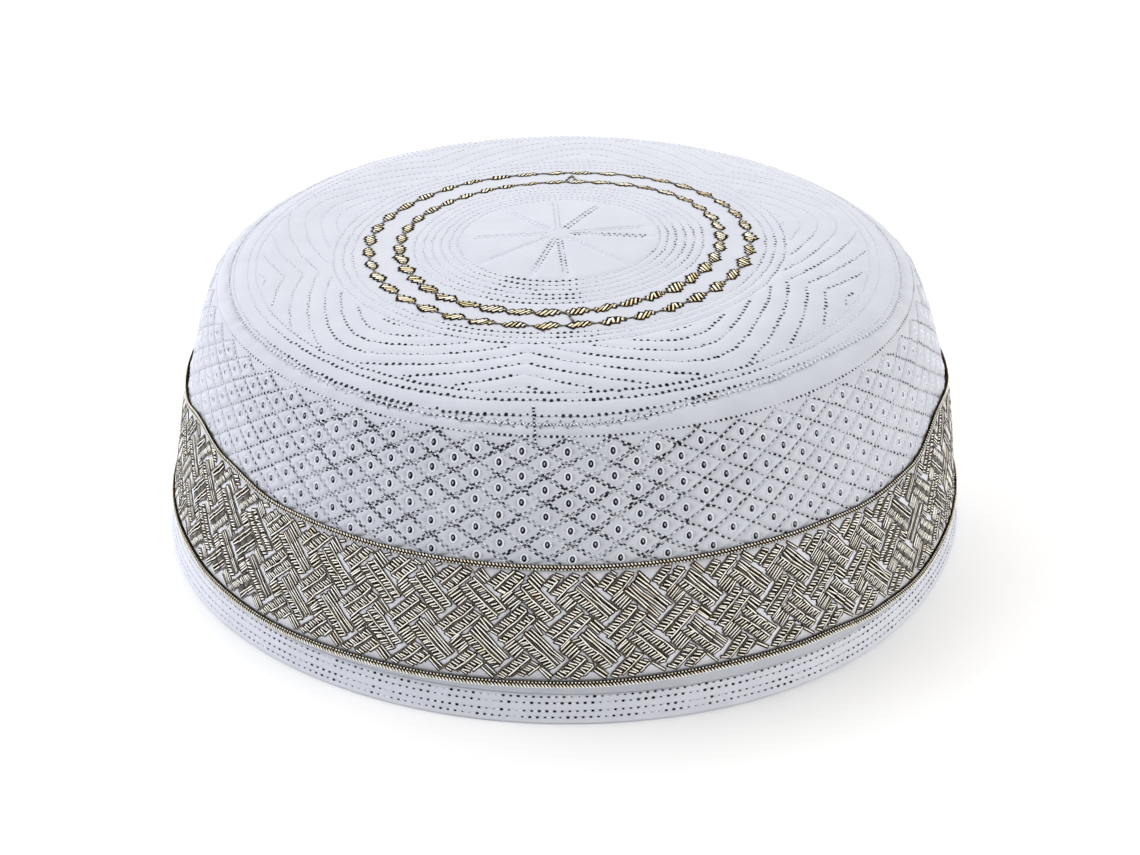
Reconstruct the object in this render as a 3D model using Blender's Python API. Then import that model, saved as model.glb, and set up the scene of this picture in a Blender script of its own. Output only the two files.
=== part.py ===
# Quilted prayer cap: a round crown, a flared side wall, a gold embroidered band
# between two cords, and a folded hem. Metres, +Z up. The cap stands on its hem,
# with the origin in the middle of the hem's lower face.

import math

import bmesh
import bpy

MM = 0.001

# Cloth thicknesses and the gap kept between neighbouring pieces
GAP = 0.3 * MM
QUILTED_CLOTH = 1.8 * MM
HEM_FOLD = 2.6 * MM
EMBROIDERY = 0.5 * MM

# The cap's outer surface, from the middle of the crown down to the hem's edge
OUTLINE = (
    # radius, height
    (0.0 * MM, 67.0 * MM),
    (20.0 * MM, 66.3 * MM),
    (40.0 * MM, 65.0 * MM),
    (56.0 * MM, 64.2 * MM),
    (67.0 * MM, 63.2 * MM),
    (75.6 * MM, 60.8 * MM),
    (79.5 * MM, 58.3 * MM),
    (82.0 * MM, 53.2 * MM),
    (87.4 * MM, 33.6 * MM),
    (92.1 * MM, 7.5 * MM),
    (94.0 * MM, 0.0 * MM),
)
STEPS_PER_SPAN = 12

# Places measured over the cloth from the middle of the crown, as a tailor's tape would
RING_INNER_AT = 36.9 * MM
RING_OUTER_AT = 43.6 * MM
CROWN_SEAM_AT = 76.2 * MM
BAND_TOP_AT = 106.6 * MM
BAND_BOTTOM_AT = 132.0 * MM
HEM_TOP_AT = 134.4 * MM

# The band is sewn on by eye: how far each edge rises above its even line
BAND_WAVES = (
    # azimuth in degrees, rise of the upper edge, rise of the lower edge
    (-168.0, 1.4 * MM, 0.0 * MM),
    (-156.0, 4.2 * MM, 0.1 * MM),
    (-146.0, 2.6 * MM, -0.7 * MM),
    (-132.0, 0.6 * MM, -1.0 * MM),
    (-112.0, 0.2 * MM, -0.4 * MM),
    (-90.0, 0.2 * MM, 0.2 * MM),
    (-68.0, 0.1 * MM, 1.0 * MM),
    (-55.0, -0.2 * MM, 0.7 * MM),
    (-44.0, -0.9 * MM, -0.6 * MM),
    (-33.0, -0.3 * MM, -1.5 * MM),
    (-20.0, 3.9 * MM, -1.1 * MM),
    (-4.0, 1.2 * MM, -0.4 * MM),
    (90.0, 0.0 * MM, 0.0 * MM),
)

CORD_UPPER_RADIUS = 0.50 * MM
CORD_LOWER_RADIUS = 0.65 * MM

# Embroidered rings: a chain of leaf-shaped motifs on a thin line, left open at the front
RING_MOTIFS = 39
MOTIF_STEPS = 4
MOTIF_HALF_WIDTH = 1.25 * MM
LINE_HALF_WIDTH = 0.35 * MM
RING_OPENING_AT = -90.0
RING_OPENING = 1.8

# The rings follow the soft crown: how far each lies outside its even circle
RING_WAVES = (
    # azimuth in degrees, inner ring, outer ring
    (-166.0, -0.8 * MM, -0.6 * MM),
    (-120.0, 0.9 * MM, 0.1 * MM),
    (-90.0, 1.1 * MM, 0.1 * MM),
    (-60.0, 0.5 * MM, 0.1 * MM),
    (-25.0, -0.2 * MM, -0.2 * MM),
    (35.0, 0.2 * MM, -0.3 * MM),
    (90.0, -2.4 * MM, -2.2 * MM),
    (128.0, -1.7 * MM, -0.7 * MM),
    (165.0, -0.8 * MM, -0.2 * MM),
)

# Rounding at the hem's fold
HEM_ROUNDING = 0.5 * MM

# How finely the surfaces are divided: round the cap, over its bends and along its flats
SEGMENTS = 64
ROW_TURN = math.radians(7.0)
ROW_LENGTH = 12.0 * MM
ROW_PROBE = 0.5 * MM
SLOPE_REACH = 0.6 * MM
BAND_SPANS = 4
MERGE_WITHIN = 0.01 * MM
SHARP_EDGE = math.radians(40.0)

# How the cap stands: the crown tips a little and the cloth is not quite round
CROWN_TILT_X = 0.030
CROWN_TILT_Y = -0.012
CROWN_SHIFT_X = -1.5 * MM
CROWN_HELD_AT = 84.0 * MM
CROWN_LOOSE_OVER = 30.0 * MM
SWELLS = (
    # azimuth in degrees, height, outward push
    (40.0, 60.0 * MM, -1.1 * MM),
    (125.0, 62.0 * MM, 0.8 * MM),
    (-5.0, 38.0 * MM, 0.6 * MM),
    (-55.0, 4.0 * MM, 0.8 * MM),
    (-25.0, 2.0 * MM, -0.6 * MM),
    (-150.0, 5.0 * MM, 0.6 * MM),
)
SWELL_SPREAD_DEGREES = 24.0
SWELL_SPREAD_HEIGHT = 18.0 * MM

WHITE_CLOTH = (0.76, 0.80, 0.88)
GOLD_THREAD = (0.42, 0.35, 0.22)
CORD_THREAD = (0.48, 0.33, 0.13)


def fresh_collection():
    """Empty the scene and make the cap's collection."""
    for old in list(bpy.data.objects):
        bpy.data.objects.remove(old, do_unlink=True)
    collection = bpy.data.collections.new("prayer_cap")
    bpy.context.scene.collection.children.link(collection)
    return collection


def material(name, colour, roughness, metallic=0.0):
    """A plain Principled material."""
    made = bpy.data.materials.new(name)
    made.use_nodes = True
    shader = made.node_tree.nodes["Principled BSDF"]
    shader.inputs["Base Color"].default_value = (*colour, 1.0)
    shader.inputs["Roughness"].default_value = roughness
    shader.inputs["Metallic"].default_value = metallic
    made.diffuse_color = (*colour, 1.0)
    return made


def smooth_outline():
    """The outline as a Catmull-Rom curve: (distance over the cloth, radius, height) rows."""
    first, last = OUTLINE[0], OUTLINE[-1]
    mirrored = (-OUTLINE[1][0], OUTLINE[1][1])
    beyond = (2 * last[0] - OUTLINE[-2][0], 2 * last[1] - OUTLINE[-2][1])
    stations = (mirrored, *OUTLINE, beyond)
    points = []
    for a, b, c, d in zip(stations, stations[1:], stations[2:], stations[3:]):
        knots = [0.0]
        for start, end in ((a, b), (b, c), (c, d)):
            knots.append(knots[-1] + math.sqrt(math.dist(start, end)))
        for step in range(STEPS_PER_SPAN):
            t = knots[1] + (knots[2] - knots[1]) * step / STEPS_PER_SPAN
            points.append(tuple(
                catmull_rom(t, knots, (a[axis], b[axis], c[axis], d[axis])) for axis in (0, 1)))
    points[0] = first
    points.append(last)
    rows = [(0.0, *points[0])]
    for before, after in zip(points, points[1:]):
        rows.append((rows[-1][0] + math.dist(before, after), *after))
    return rows


def catmull_rom(t, knots, values):
    """The value at t of the centripetal curve through four values at four knots."""
    k0, k1, k2, k3 = knots
    v0, v1, v2, v3 = values

    def between(low, high, at_low, at_high):
        return ((high - t) * at_low + (t - low) * at_high) / (high - low)

    first = between(k0, k2, between(k0, k1, v0, v1), between(k1, k2, v1, v2))
    second = between(k1, k3, between(k1, k2, v1, v2), between(k2, k3, v2, v3))
    return between(k1, k2, first, second)


CLOTH = smooth_outline()
RIM_AT = CLOTH[-1][0]


def on_cloth(distance, lift=0.0):
    """Radius and height at a distance over the cloth, lifted off its outer surface."""
    radius, height = outline_point(distance)
    run, fall = slope_at(distance)
    return radius - fall * lift, height + run * lift


def slope_at(distance):
    """Unit direction of the outline (radius, height), averaged over a short stretch."""
    near = outline_point(distance - SLOPE_REACH)
    far = outline_point(distance + SLOPE_REACH)
    length = math.dist(near, far)
    return (far[0] - near[0]) / length, (far[1] - near[1]) / length


def outline_point(distance):
    """Radius and height on the outline, carried straight on past either end."""
    if distance <= 0.0:
        return distance, CLOTH[0][2]
    row = 1
    while row < len(CLOTH) - 1 and CLOTH[row][0] < distance:
        row += 1
    before, after = CLOTH[row - 1], CLOTH[row]
    share = (distance - before[0]) / (after[0] - before[0])
    return before[1] + share * (after[1] - before[1]), before[2] + share * (after[2] - before[2])


def settled(point):
    """Where a point of the evenly turned cap lies once the cap has settled."""
    x, y, z = point
    radius = math.hypot(x, y)
    azimuth = math.degrees(math.atan2(y, x))
    looseness = min(max((CROWN_HELD_AT - radius) / CROWN_LOOSE_OVER, 0.0), 1.0)
    looseness *= looseness * (3.0 - 2.0 * looseness)
    push = 0.0
    for swell_azimuth, swell_height, outward in SWELLS:
        turn = (azimuth - swell_azimuth + 180.0) % 360.0 - 180.0
        near_side = math.exp(-(turn / SWELL_SPREAD_DEGREES) ** 2)
        near_height = math.exp(-((z - swell_height) / SWELL_SPREAD_HEIGHT) ** 2)
        push += outward * near_side * near_height
    push *= (radius / CROWN_HELD_AT) ** 2
    stretch = 1.0 + push / max(radius, MM)
    return (
        x * stretch + CROWN_SHIFT_X * looseness,
        y * stretch,
        z + looseness * (CROWN_TILT_X * x + CROWN_TILT_Y * y),
    )


def finished(name, mesh, shade, collection):
    """Settle a mesh, give it its material and link it as one named piece."""
    for vertex in mesh.vertices:
        vertex.co = settled(vertex.co)
    mesh.materials.append(shade)
    mesh.shade_smooth()
    mesh.set_sharp_from_angle(angle=SHARP_EDGE)
    piece = bpy.data.objects.new(name, mesh)
    collection.objects.link(piece)
    return piece


def turned(name, section, shade, collection):
    """Spin a closed section of (radius, height) points round the cap's axis.

    A section that starts and ends on the axis closes itself there.
    """
    shape = bmesh.new()
    points = [shape.verts.new((radius, 0.0, height)) for radius, height in section]
    edges = [shape.edges.new(pair) for pair in zip(points, points[1:])]
    if section[0][0] > 0.0:
        edges.append(shape.edges.new((points[-1], points[0])))
    bmesh.ops.spin(
        shape, geom=points + edges, cent=(0, 0, 0), axis=(0, 0, 1),
        angle=2.0 * math.pi, steps=SEGMENTS, use_merge=True)
    bmesh.ops.remove_doubles(shape, verts=shape.verts, dist=MERGE_WITHIN)
    bmesh.ops.recalc_face_normals(shape, faces=shape.faces)
    mesh = bpy.data.meshes.new(name)
    shape.to_mesh(mesh)
    shape.free()
    return finished(name, mesh, shade, collection)


def along_waves(waves, azimuth, column):
    """A smooth value round the cap at an azimuth, from one column of a table of waves."""
    turn = (azimuth - waves[0][0]) % 360.0 + waves[0][0]
    rows = (*waves, (waves[0][0] + 360.0, *waves[0][1:]))
    for before, after in zip(rows, rows[1:]):
        if turn <= after[0]:
            break
    share = (turn - before[0]) / (after[0] - before[0])
    share = 0.5 - 0.5 * math.cos(math.pi * share)
    return before[column] + share * (after[column] - before[column])


def rows_between(start, end):
    """Distances that split a stretch of cloth finely where it bends and coarsely where it is flat."""
    rows = [start]
    here = start
    heading = math.atan2(*slope_at(start))
    while here + ROW_PROBE < end:
        here += ROW_PROBE
        turn = abs(math.atan2(*slope_at(here)) - heading)
        if turn > ROW_TURN or here - rows[-1] > ROW_LENGTH:
            rows.append(here)
            heading = math.atan2(*slope_at(here))
    if end - rows[-1] < ROW_LENGTH / 4 and len(rows) > 1:
        rows.pop()
    rows.append(end)
    return rows


def cloth_layer(name, start, end, lift, thickness, shade, collection):
    """A layer of cloth between two distances from the crown's middle."""
    rows = rows_between(start, end)
    outer = [on_cloth(distance, lift) for distance in rows]
    inner = [on_cloth(distance, lift - thickness) for distance in reversed(rows)]
    if start == 0.0:
        outer[0] = (0.0, outer[0][1])
        inner[-1] = (0.0, inner[-1][1])
    return turned(name, outer + inner, shade, collection)


def lofted(name, sections, whole_ring, shade, collection):
    """Join sections of four or more corners each; a whole ring closes on itself, a strip is capped."""
    shape = bmesh.new()
    loops = [[shape.verts.new(corner) for corner in section] for section in sections]
    pairs = list(zip(loops, loops[1:]))
    if whole_ring:
        pairs.append((loops[-1], loops[0]))
    else:
        shape.faces.new(loops[0])
        shape.faces.new(loops[-1])
    for before, after in pairs:
        for corner in range(len(before)):
            following = (corner + 1) % len(before)
            shape.faces.new((before[corner], before[following], after[following], after[corner]))
    bmesh.ops.recalc_face_normals(shape, faces=shape.faces)
    mesh = bpy.data.meshes.new(name)
    shape.to_mesh(mesh)
    shape.free()
    return finished(name, mesh, shade, collection)


def around(azimuth, radius_and_height):
    """A point of the section plane turned to an azimuth in degrees."""
    radius, height = radius_and_height
    turn = math.radians(azimuth)
    return radius * math.cos(turn), radius * math.sin(turn), height


def gold_layer(name, shade, collection):
    """The embroidered band on the side wall, between its two cords, with edges that waver."""
    sections = []
    for number in range(SEGMENTS):
        azimuth = 360.0 * number / SEGMENTS
        start = BAND_TOP_AT - along_waves(BAND_WAVES, azimuth, 1) + CORD_UPPER_RADIUS + GAP
        end = BAND_BOTTOM_AT - along_waves(BAND_WAVES, azimuth, 2) - CORD_LOWER_RADIUS - GAP
        rows = [start + (end - start) * row / BAND_SPANS for row in range(BAND_SPANS + 1)]
        section = [around(azimuth, on_cloth(distance, GAP + EMBROIDERY)) for distance in rows]
        section += [around(azimuth, on_cloth(distance, GAP)) for distance in reversed(rows)]
        sections.append(section)
    return lofted(name, sections, True, shade, collection)


def cord(name, distance, column, radius, shade, collection):
    """A round cord couched on the cloth along one edge of the band."""
    path = bpy.data.curves.new(name, "CURVE")
    path.dimensions = "3D"
    path.bevel_depth = radius
    path.bevel_resolution = 1
    line = path.splines.new("POLY")
    line.points.add(SEGMENTS - 1)
    line.use_cyclic_u = True
    for number, point in enumerate(line.points):
        azimuth = 360.0 * number / SEGMENTS
        middle = on_cloth(distance - along_waves(BAND_WAVES, azimuth, column), GAP + radius)
        point.co = (*settled(around(azimuth, middle)), 1.0)
    path.materials.append(shade)
    piece = bpy.data.objects.new(name, path)
    collection.objects.link(piece)
    return piece


def motif_half_width(turns):
    """Half the ring's width along it: a leaf swells and narrows once in each turn."""
    swell = 0.5 - 0.5 * math.cos(2.0 * math.pi * turns)
    return LINE_HALF_WIDTH + (MOTIF_HALF_WIDTH - LINE_HALF_WIDTH) * swell


def embroidered_ring(name, distance, column, shade, collection):
    """A low ring of satin-stitch leaves on the crown, open where it starts and stops."""
    sections = []
    count = RING_MOTIFS * MOTIF_STEPS
    for number in range(count + 1):
        sweep = (360.0 - RING_OPENING) * number / count
        azimuth = RING_OPENING_AT + RING_OPENING / 2 + sweep
        middle = distance + along_waves(RING_WAVES, azimuth, column)
        half = motif_half_width(number / MOTIF_STEPS)
        corners = ((-half, GAP), (half, GAP), (half, GAP + EMBROIDERY), (-half, GAP + EMBROIDERY))
        sections.append([around(azimuth, on_cloth(middle + across, lift)) for across, lift in corners])
    return lofted(name, sections, False, shade, collection)


def hem(name, shade, collection):
    """The folded hem: two layers of cloth down to a flat lower face that the cap stands on."""
    start = HEM_TOP_AT + GAP / 2
    outer = [on_cloth(start, 0.0), on_cloth((start + RIM_AT) / 2, 0.0)]
    rim_radius = on_cloth(RIM_AT, 0.0)[0]
    inner_rim = rim_radius - HEM_FOLD
    outer.append((rim_radius, HEM_ROUNDING))
    outer.append((rim_radius - HEM_ROUNDING, 0.0))
    inner = [(inner_rim + HEM_ROUNDING, 0.0), (inner_rim, HEM_ROUNDING)]
    inner.append(on_cloth((start + RIM_AT) / 2, -HEM_FOLD))
    inner.append(on_cloth(start, -HEM_FOLD))
    return turned(name, outer + inner, shade, collection)


def build():
    """Make every piece of the cap."""
    collection = fresh_collection()
    cloth = material("white_cloth", WHITE_CLOTH, 0.85)
    gold = material("gold_thread", GOLD_THREAD, 0.5, 0.3)
    edging = material("cord_thread", CORD_THREAD, 0.5, 0.3)

    cloth_layer("crown_panel", 0.0, CROWN_SEAM_AT - GAP / 2, 0.0, QUILTED_CLOTH, cloth, collection)
    embroidered_ring("ring_inner", RING_INNER_AT, 1, gold, collection)
    embroidered_ring("ring_outer", RING_OUTER_AT, 2, gold, collection)
    cloth_layer(
        "side_wall", CROWN_SEAM_AT + GAP / 2, HEM_TOP_AT - GAP / 2, 0.0, QUILTED_CLOTH, cloth, collection)
    cord("band_cord_upper", BAND_TOP_AT, 1, CORD_UPPER_RADIUS, edging, collection)
    gold_layer("gold_band", gold, collection)
    cord("band_cord_lower", BAND_BOTTOM_AT, 2, CORD_LOWER_RADIUS, edging, collection)
    hem("hem_band", cloth, collection)


build()
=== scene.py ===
import math

import bmesh
import bpy
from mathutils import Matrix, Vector, noise


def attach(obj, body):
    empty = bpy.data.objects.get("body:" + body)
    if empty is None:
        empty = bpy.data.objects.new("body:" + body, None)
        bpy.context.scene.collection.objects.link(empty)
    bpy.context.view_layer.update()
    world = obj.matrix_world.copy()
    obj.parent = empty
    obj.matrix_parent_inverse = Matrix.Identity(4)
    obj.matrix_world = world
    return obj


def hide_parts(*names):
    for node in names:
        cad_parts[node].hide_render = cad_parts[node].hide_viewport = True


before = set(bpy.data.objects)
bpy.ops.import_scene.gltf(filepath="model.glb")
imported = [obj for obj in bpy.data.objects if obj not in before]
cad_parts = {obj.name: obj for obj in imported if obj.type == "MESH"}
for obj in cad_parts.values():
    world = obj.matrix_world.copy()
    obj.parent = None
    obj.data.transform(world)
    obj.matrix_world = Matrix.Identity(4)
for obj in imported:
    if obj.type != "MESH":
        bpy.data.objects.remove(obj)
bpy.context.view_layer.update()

# Crown panel: a disc of white cotton in two layers with thin wadding between. Rows of running
# stitches quilt it into low ridges, and its edge is seamed to the side below the shoulder.
MM = 0.001
QUILTED_CLOTH = 1.8 * MM

# The outer surface of the cap, from the crown's middle to the hem's edge
OUTLINE = (
    # radius, height
    (0.0 * MM, 67.0 * MM),
    (20.0 * MM, 66.3 * MM),
    (40.0 * MM, 65.0 * MM),
    (56.0 * MM, 64.2 * MM),
    (67.0 * MM, 63.2 * MM),
    (75.6 * MM, 60.8 * MM),
    (79.5 * MM, 58.3 * MM),
    (82.0 * MM, 53.2 * MM),
    (87.4 * MM, 33.6 * MM),
    (92.1 * MM, 7.5 * MM),
    (94.0 * MM, 0.0 * MM),
)
STEPS_PER_SPAN = 12
TAPE_STEP = 0.2 * MM
TAPE_SPARE_MARKS = 12
SLOPE_REACH = 0.6 * MM

# How the cap stands: the crown tips a little and the cloth is not quite round
CROWN_TILT_X = 0.030
CROWN_TILT_Y = -0.012
CROWN_SHIFT_X = -1.5 * MM
CROWN_HELD_AT = 84.0 * MM
CROWN_LOOSE_OVER = 30.0 * MM
SWELLS = (
    # azimuth in degrees, height, outward push
    (40.0, 60.0 * MM, -1.1 * MM),
    (125.0, 62.0 * MM, 0.8 * MM),
    (-5.0, 38.0 * MM, 0.6 * MM),
    (-55.0, 4.0 * MM, 0.8 * MM),
    (-25.0, 2.0 * MM, -0.6 * MM),
    (-150.0, 5.0 * MM, 0.6 * MM),
)
SWELL_SPREAD_DEGREES = 24.0
SWELL_SPREAD_HEIGHT = 18.0 * MM

# Rows of stitches, measured over the cloth from the crown's middle
MEDALLION_ROWS = (22.9 * MM, 24.7 * MM, 26.6 * MM, 28.7 * MM, 30.6 * MM, 32.7 * MM)
INNER_FIELD_ROWS = (46.3 * MM, 48.3 * MM, 50.7 * MM)
RIM_ROWS = (69.0 * MM, 71.0 * MM, 74.4 * MM)
SPOKES = (
    # azimuth in degrees, how large the painted shade of its needle holes is
    (-106.0, 0.60),
    (-85.5, 0.75),
    (-47.0, 0.12),
    (-4.0, 0.65),
    (12.0, 0.25),
    (62.0, 0.60),
    (93.0, 0.25),
    (128.0, 0.10),
    (178.0, 0.15),
    (-142.0, 0.10),
)
SPOKE_START = 2.5 * MM
SPOKE_END = 22.0 * MM
PETALS = 5
PETAL_CUSP_AT = -96.5
PETAL_FIRST_ROW = 37.4 * MM
PETAL_ROW_STEP = 4.2 * MM
PETAL_RISE_PER_DEGREE = 0.45 * MM
PETAL_TIP_DEGREES = 7.0
PETAL_FIELD = (51.8 * MM, 68.2 * MM)
CROWN_SEAM_AT = 76.2 * MM
SEAM_WAVES = (
    # azimuth in degrees, how far the seam lies below its even line
    (-180.0, 0.0 * MM),
    (-140.0, 0.2 * MM),
    (-110.0, 1.2 * MM),
    (-88.0, 1.2 * MM),
    (-62.0, -1.6 * MM),
    (-45.0, -1.6 * MM),
    (-22.0, 0.8 * MM),
    (10.0, 0.0 * MM),
)
SEAM_WAVES_REACH = 7.0 * MM
ROW_DRIFT = (
    # azimuth in degrees, how far the rows lie outside their even circles: medallion, field, petals, rim
    (-165.0, 0.2 * MM, 0.6 * MM, -0.3 * MM, 0.7 * MM),
    (-125.0, 0.8 * MM, 0.3 * MM, 0.3 * MM, 0.8 * MM),
    (-108.0, 1.1 * MM, 0.2 * MM, 0.5 * MM, 0.6 * MM),
    (-95.0, 1.15 * MM, 0.1 * MM, 0.2 * MM, -0.15 * MM),
    (-84.0, 1.15 * MM, 0.1 * MM, 0.0 * MM, 0.0 * MM),
    (-72.0, 1.1 * MM, 0.2 * MM, 0.0 * MM, 0.4 * MM),
    (-45.0, 0.75 * MM, 0.4 * MM, -0.3 * MM, 0.7 * MM),
    (-30.0, 0.5 * MM, 0.6 * MM, 0.4 * MM, 0.7 * MM),
    (0.0, 0.0 * MM, 0.7 * MM, 0.1 * MM, 0.7 * MM),
    (90.0, -1.6 * MM, -0.8 * MM, 0.0 * MM, 0.7 * MM),
    (150.0, -0.7 * MM, 0.2 * MM, 0.0 * MM, 0.7 * MM),
)
DRIFT_STATIONS = (28.0 * MM, 48.5 * MM, 60.0 * MM, 71.5 * MM)
DRIFT_ENDS_OVER = 1.6 * MM
NEEDLE_HOLES = (
    # azimuth in degrees, how large the holes and their painted shade are, larger towards the front where
    # the holes' shade shows: crown, crown's rim, rising and falling lines of the side, eyelets; and whether
    # the side's lines are sewn in pairs
    (-163.0, 0.30, 0.10, 0.10, 0.12, 0.20, 0.0),
    (-150.0, 0.45, 0.35, 0.50, 0.55, 0.45, 0.0),
    (-138.0, 0.65, 0.75, 0.85, 0.85, 0.90, 0.0),
    (-126.0, 0.90, 1.00, 0.90, 0.90, 1.00, 1.0),
    (-116.0, 1.00, 1.05, 1.00, 1.00, 1.00, 1.0),
    (-84.0, 1.05, 1.05, 1.05, 1.05, 1.00, 1.0),
    (-68.0, 1.05, 1.05, 1.00, 1.00, 1.00, 0.0),
    (-60.0, 1.00, 0.90, 0.85, 0.90, 1.00, 0.0),
    (-52.0, 0.95, 0.55, 0.60, 0.85, 0.95, 0.0),
    (-42.0, 0.90, 0.25, 0.25, 0.85, 0.85, 0.0),
    (-33.0, 0.90, 0.12, 0.10, 0.85, 0.65, 0.0),
    (-20.0, 0.80, 0.10, 0.08, 0.85, 0.45, 0.0),
    (-5.0, 0.60, 0.10, 0.08, 0.70, 0.30, 0.0),
    (8.0, 0.10, 0.08, 0.20, 0.20, 0.30, 1.0),
    (90.0, 0.08, 0.08, 0.30, 0.30, 0.50, 1.0),
    (165.0, 0.12, 0.08, 0.20, 0.20, 0.30, 1.0),
)
CROWN_HOLES, RIM_HOLES, RISING_HOLES, FALLING_HOLES, EYELET_HOLES, PAIRED_LINES = range(1, 7)
VALLEY_DEPTH = 0.20 * MM
VALLEY_WIDTH = 0.60 * MM
VALLEY_REACH = 2.0 * MM
LOOSE_VALLEY = 0.2
SPOKE_VALLEY_WIDTH = 1.4 * VALLEY_WIDTH
SPOKE_VALLEY_DEGREES = 30.0
SEAM_ROLL = 0.30 * MM
SEAM_ROLL_WIDTH = 0.9 * MM
SEAM_SHOWS = 0.06 * MM
CROWN_RINGS = 136
CROWN_SECTORS = 400
CROWN_UNDER_RINGS = 10
WELD_WITHIN = 0.004 * MM

# The cloth's look: how fine its mottling and its creases are, and the length of one wave of the
# weave's wave texture at a scale of 1
MOTTLES_PER_METRE = 140.0
CREASES_PER_METRE = 750.0
WAVE_LENGTH = 0.314


def smooth_value(t, knots, values):
    """The value at t of the smooth curve through four values at four knots."""
    k0, k1, k2, k3 = knots
    v0, v1, v2, v3 = values

    def between(low, high, at_low, at_high):
        return ((high - t) * at_low + (t - low) * at_high) / (high - low)

    first = between(k0, k2, between(k0, k1, v0, v1), between(k1, k2, v1, v2))
    second = between(k1, k3, between(k1, k2, v1, v2), between(k2, k3, v2, v3))
    return between(k1, k2, first, second)


def outline_rows():
    """The outline as a smooth curve: (distance over the cloth, radius, height) rows."""
    last = OUTLINE[-1]
    mirrored = (-OUTLINE[1][0], OUTLINE[1][1])
    beyond = (2 * last[0] - OUTLINE[-2][0], 2 * last[1] - OUTLINE[-2][1])
    stations = (mirrored, *OUTLINE, beyond)
    points = []
    for a, b, c, d in zip(stations, stations[1:], stations[2:], stations[3:]):
        knots = [0.0]
        for start, end in ((a, b), (b, c), (c, d)):
            knots.append(knots[-1] + math.sqrt(math.dist(start, end)))
        for step in range(STEPS_PER_SPAN):
            t = knots[1] + (knots[2] - knots[1]) * step / STEPS_PER_SPAN
            points.append(tuple(
                smooth_value(t, knots, (a[axis], b[axis], c[axis], d[axis])) for axis in (0, 1)))
    points[0] = OUTLINE[0]
    points.append(last)
    rows = [(0.0, *points[0])]
    for before, after in zip(points, points[1:]):
        rows.append((rows[-1][0] + math.dist(before, after), *after))
    return rows


def marked_tape():
    """The outline read off at even steps of a tape: (radius, height, run, fall) rows."""
    rows = outline_rows()

    def outline_point(distance):
        if distance <= 0.0:
            return distance, rows[0][2]
        row = 1
        while row < len(rows) - 1 and rows[row][0] < distance:
            row += 1
        before, after = rows[row - 1], rows[row]
        share = (distance - before[0]) / (after[0] - before[0])
        return tuple(before[axis] + share * (after[axis] - before[axis]) for axis in (1, 2))

    tape = []
    for mark in range(int(rows[-1][0] / TAPE_STEP) + TAPE_SPARE_MARKS):
        distance = mark * TAPE_STEP
        near = outline_point(distance - SLOPE_REACH)
        far = outline_point(distance + SLOPE_REACH)
        slope = ((far_end - near_end) / math.dist(near, far) for near_end, far_end in zip(near, far))
        tape.append((*outline_point(distance), *slope))
    return tape, rows[-1][0]


TAPE, RIM_AT = marked_tape()


def on_cloth(distance, lift=0.0):
    """Radius and height at a distance over the cloth, lifted off its outer surface."""
    position = max(distance, 0.0) / TAPE_STEP
    mark = min(int(position), len(TAPE) - 2)
    share = position - mark
    before, after = TAPE[mark], TAPE[mark + 1]
    radius, height, run, fall = (a + share * (b - a) for a, b in zip(before, after))
    return radius - fall * lift, height + run * lift


def degrees_per_metre(distance):
    """How far round the cap a metre of cloth reaches at a distance over the cloth."""
    return 1.0 / math.radians(on_cloth(distance)[0])


def stitches_round(distance, pitch):
    """How many stitches of a pitch go once round the cap at a distance over the cloth."""
    return round(2.0 * math.pi * on_cloth(distance)[0] / pitch)


def eased(share):
    """A share held between 0 and 1 that starts and ends gently."""
    share = min(max(share, 0.0), 1.0)
    return share * share * (3.0 - 2.0 * share)


def hump(away, spread):
    """A smooth rise to 1 where nothing is away, gone within about two spreads."""
    return math.exp(-(away / spread) ** 2)


def past_mark(value, mark, repeat=360.0):
    """How far a value lies past the nearest of the marks that repeat from one on."""
    return (value - mark + repeat / 2) % repeat - repeat / 2


def settled(radius, azimuth, height):
    """Where a point of the evenly turned cap lies once the cap has settled."""
    turn = math.radians(azimuth)
    looseness = eased((CROWN_HELD_AT - radius) / CROWN_LOOSE_OVER)
    push = 0.0
    for swell_azimuth, swell_height, outward in SWELLS:
        near_side = hump(past_mark(azimuth, swell_azimuth), SWELL_SPREAD_DEGREES)
        push += outward * near_side * hump(height - swell_height, SWELL_SPREAD_HEIGHT)
    push *= (radius / CROWN_HELD_AT) ** 2
    x = (radius + push) * math.cos(turn)
    y = (radius + push) * math.sin(turn)
    lean = CROWN_TILT_X * radius * math.cos(turn) + CROWN_TILT_Y * radius * math.sin(turn)
    return Vector((x + CROWN_SHIFT_X * looseness, y, height + looseness * lean))


def place(azimuth, distance, lift=0.0):
    """The point of the cap at an azimuth in degrees and a distance over the cloth."""
    radius, height = on_cloth(distance, lift)
    return settled(radius, azimuth, height)


def along_waves(waves, azimuth, column=1):
    """A smooth value round the cap from rows that start with an azimuth."""
    turn = (azimuth - waves[0][0]) % 360.0 + waves[0][0]
    rows = (*waves, (waves[0][0] + 360.0, *waves[0][1:]))
    for before, after in zip(rows, rows[1:]):
        if turn <= after[0]:
            break
    share = 0.5 - 0.5 * math.cos(math.pi * (turn - before[0]) / (after[0] - before[0]))
    return before[column] + share * (after[column] - before[column])


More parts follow.
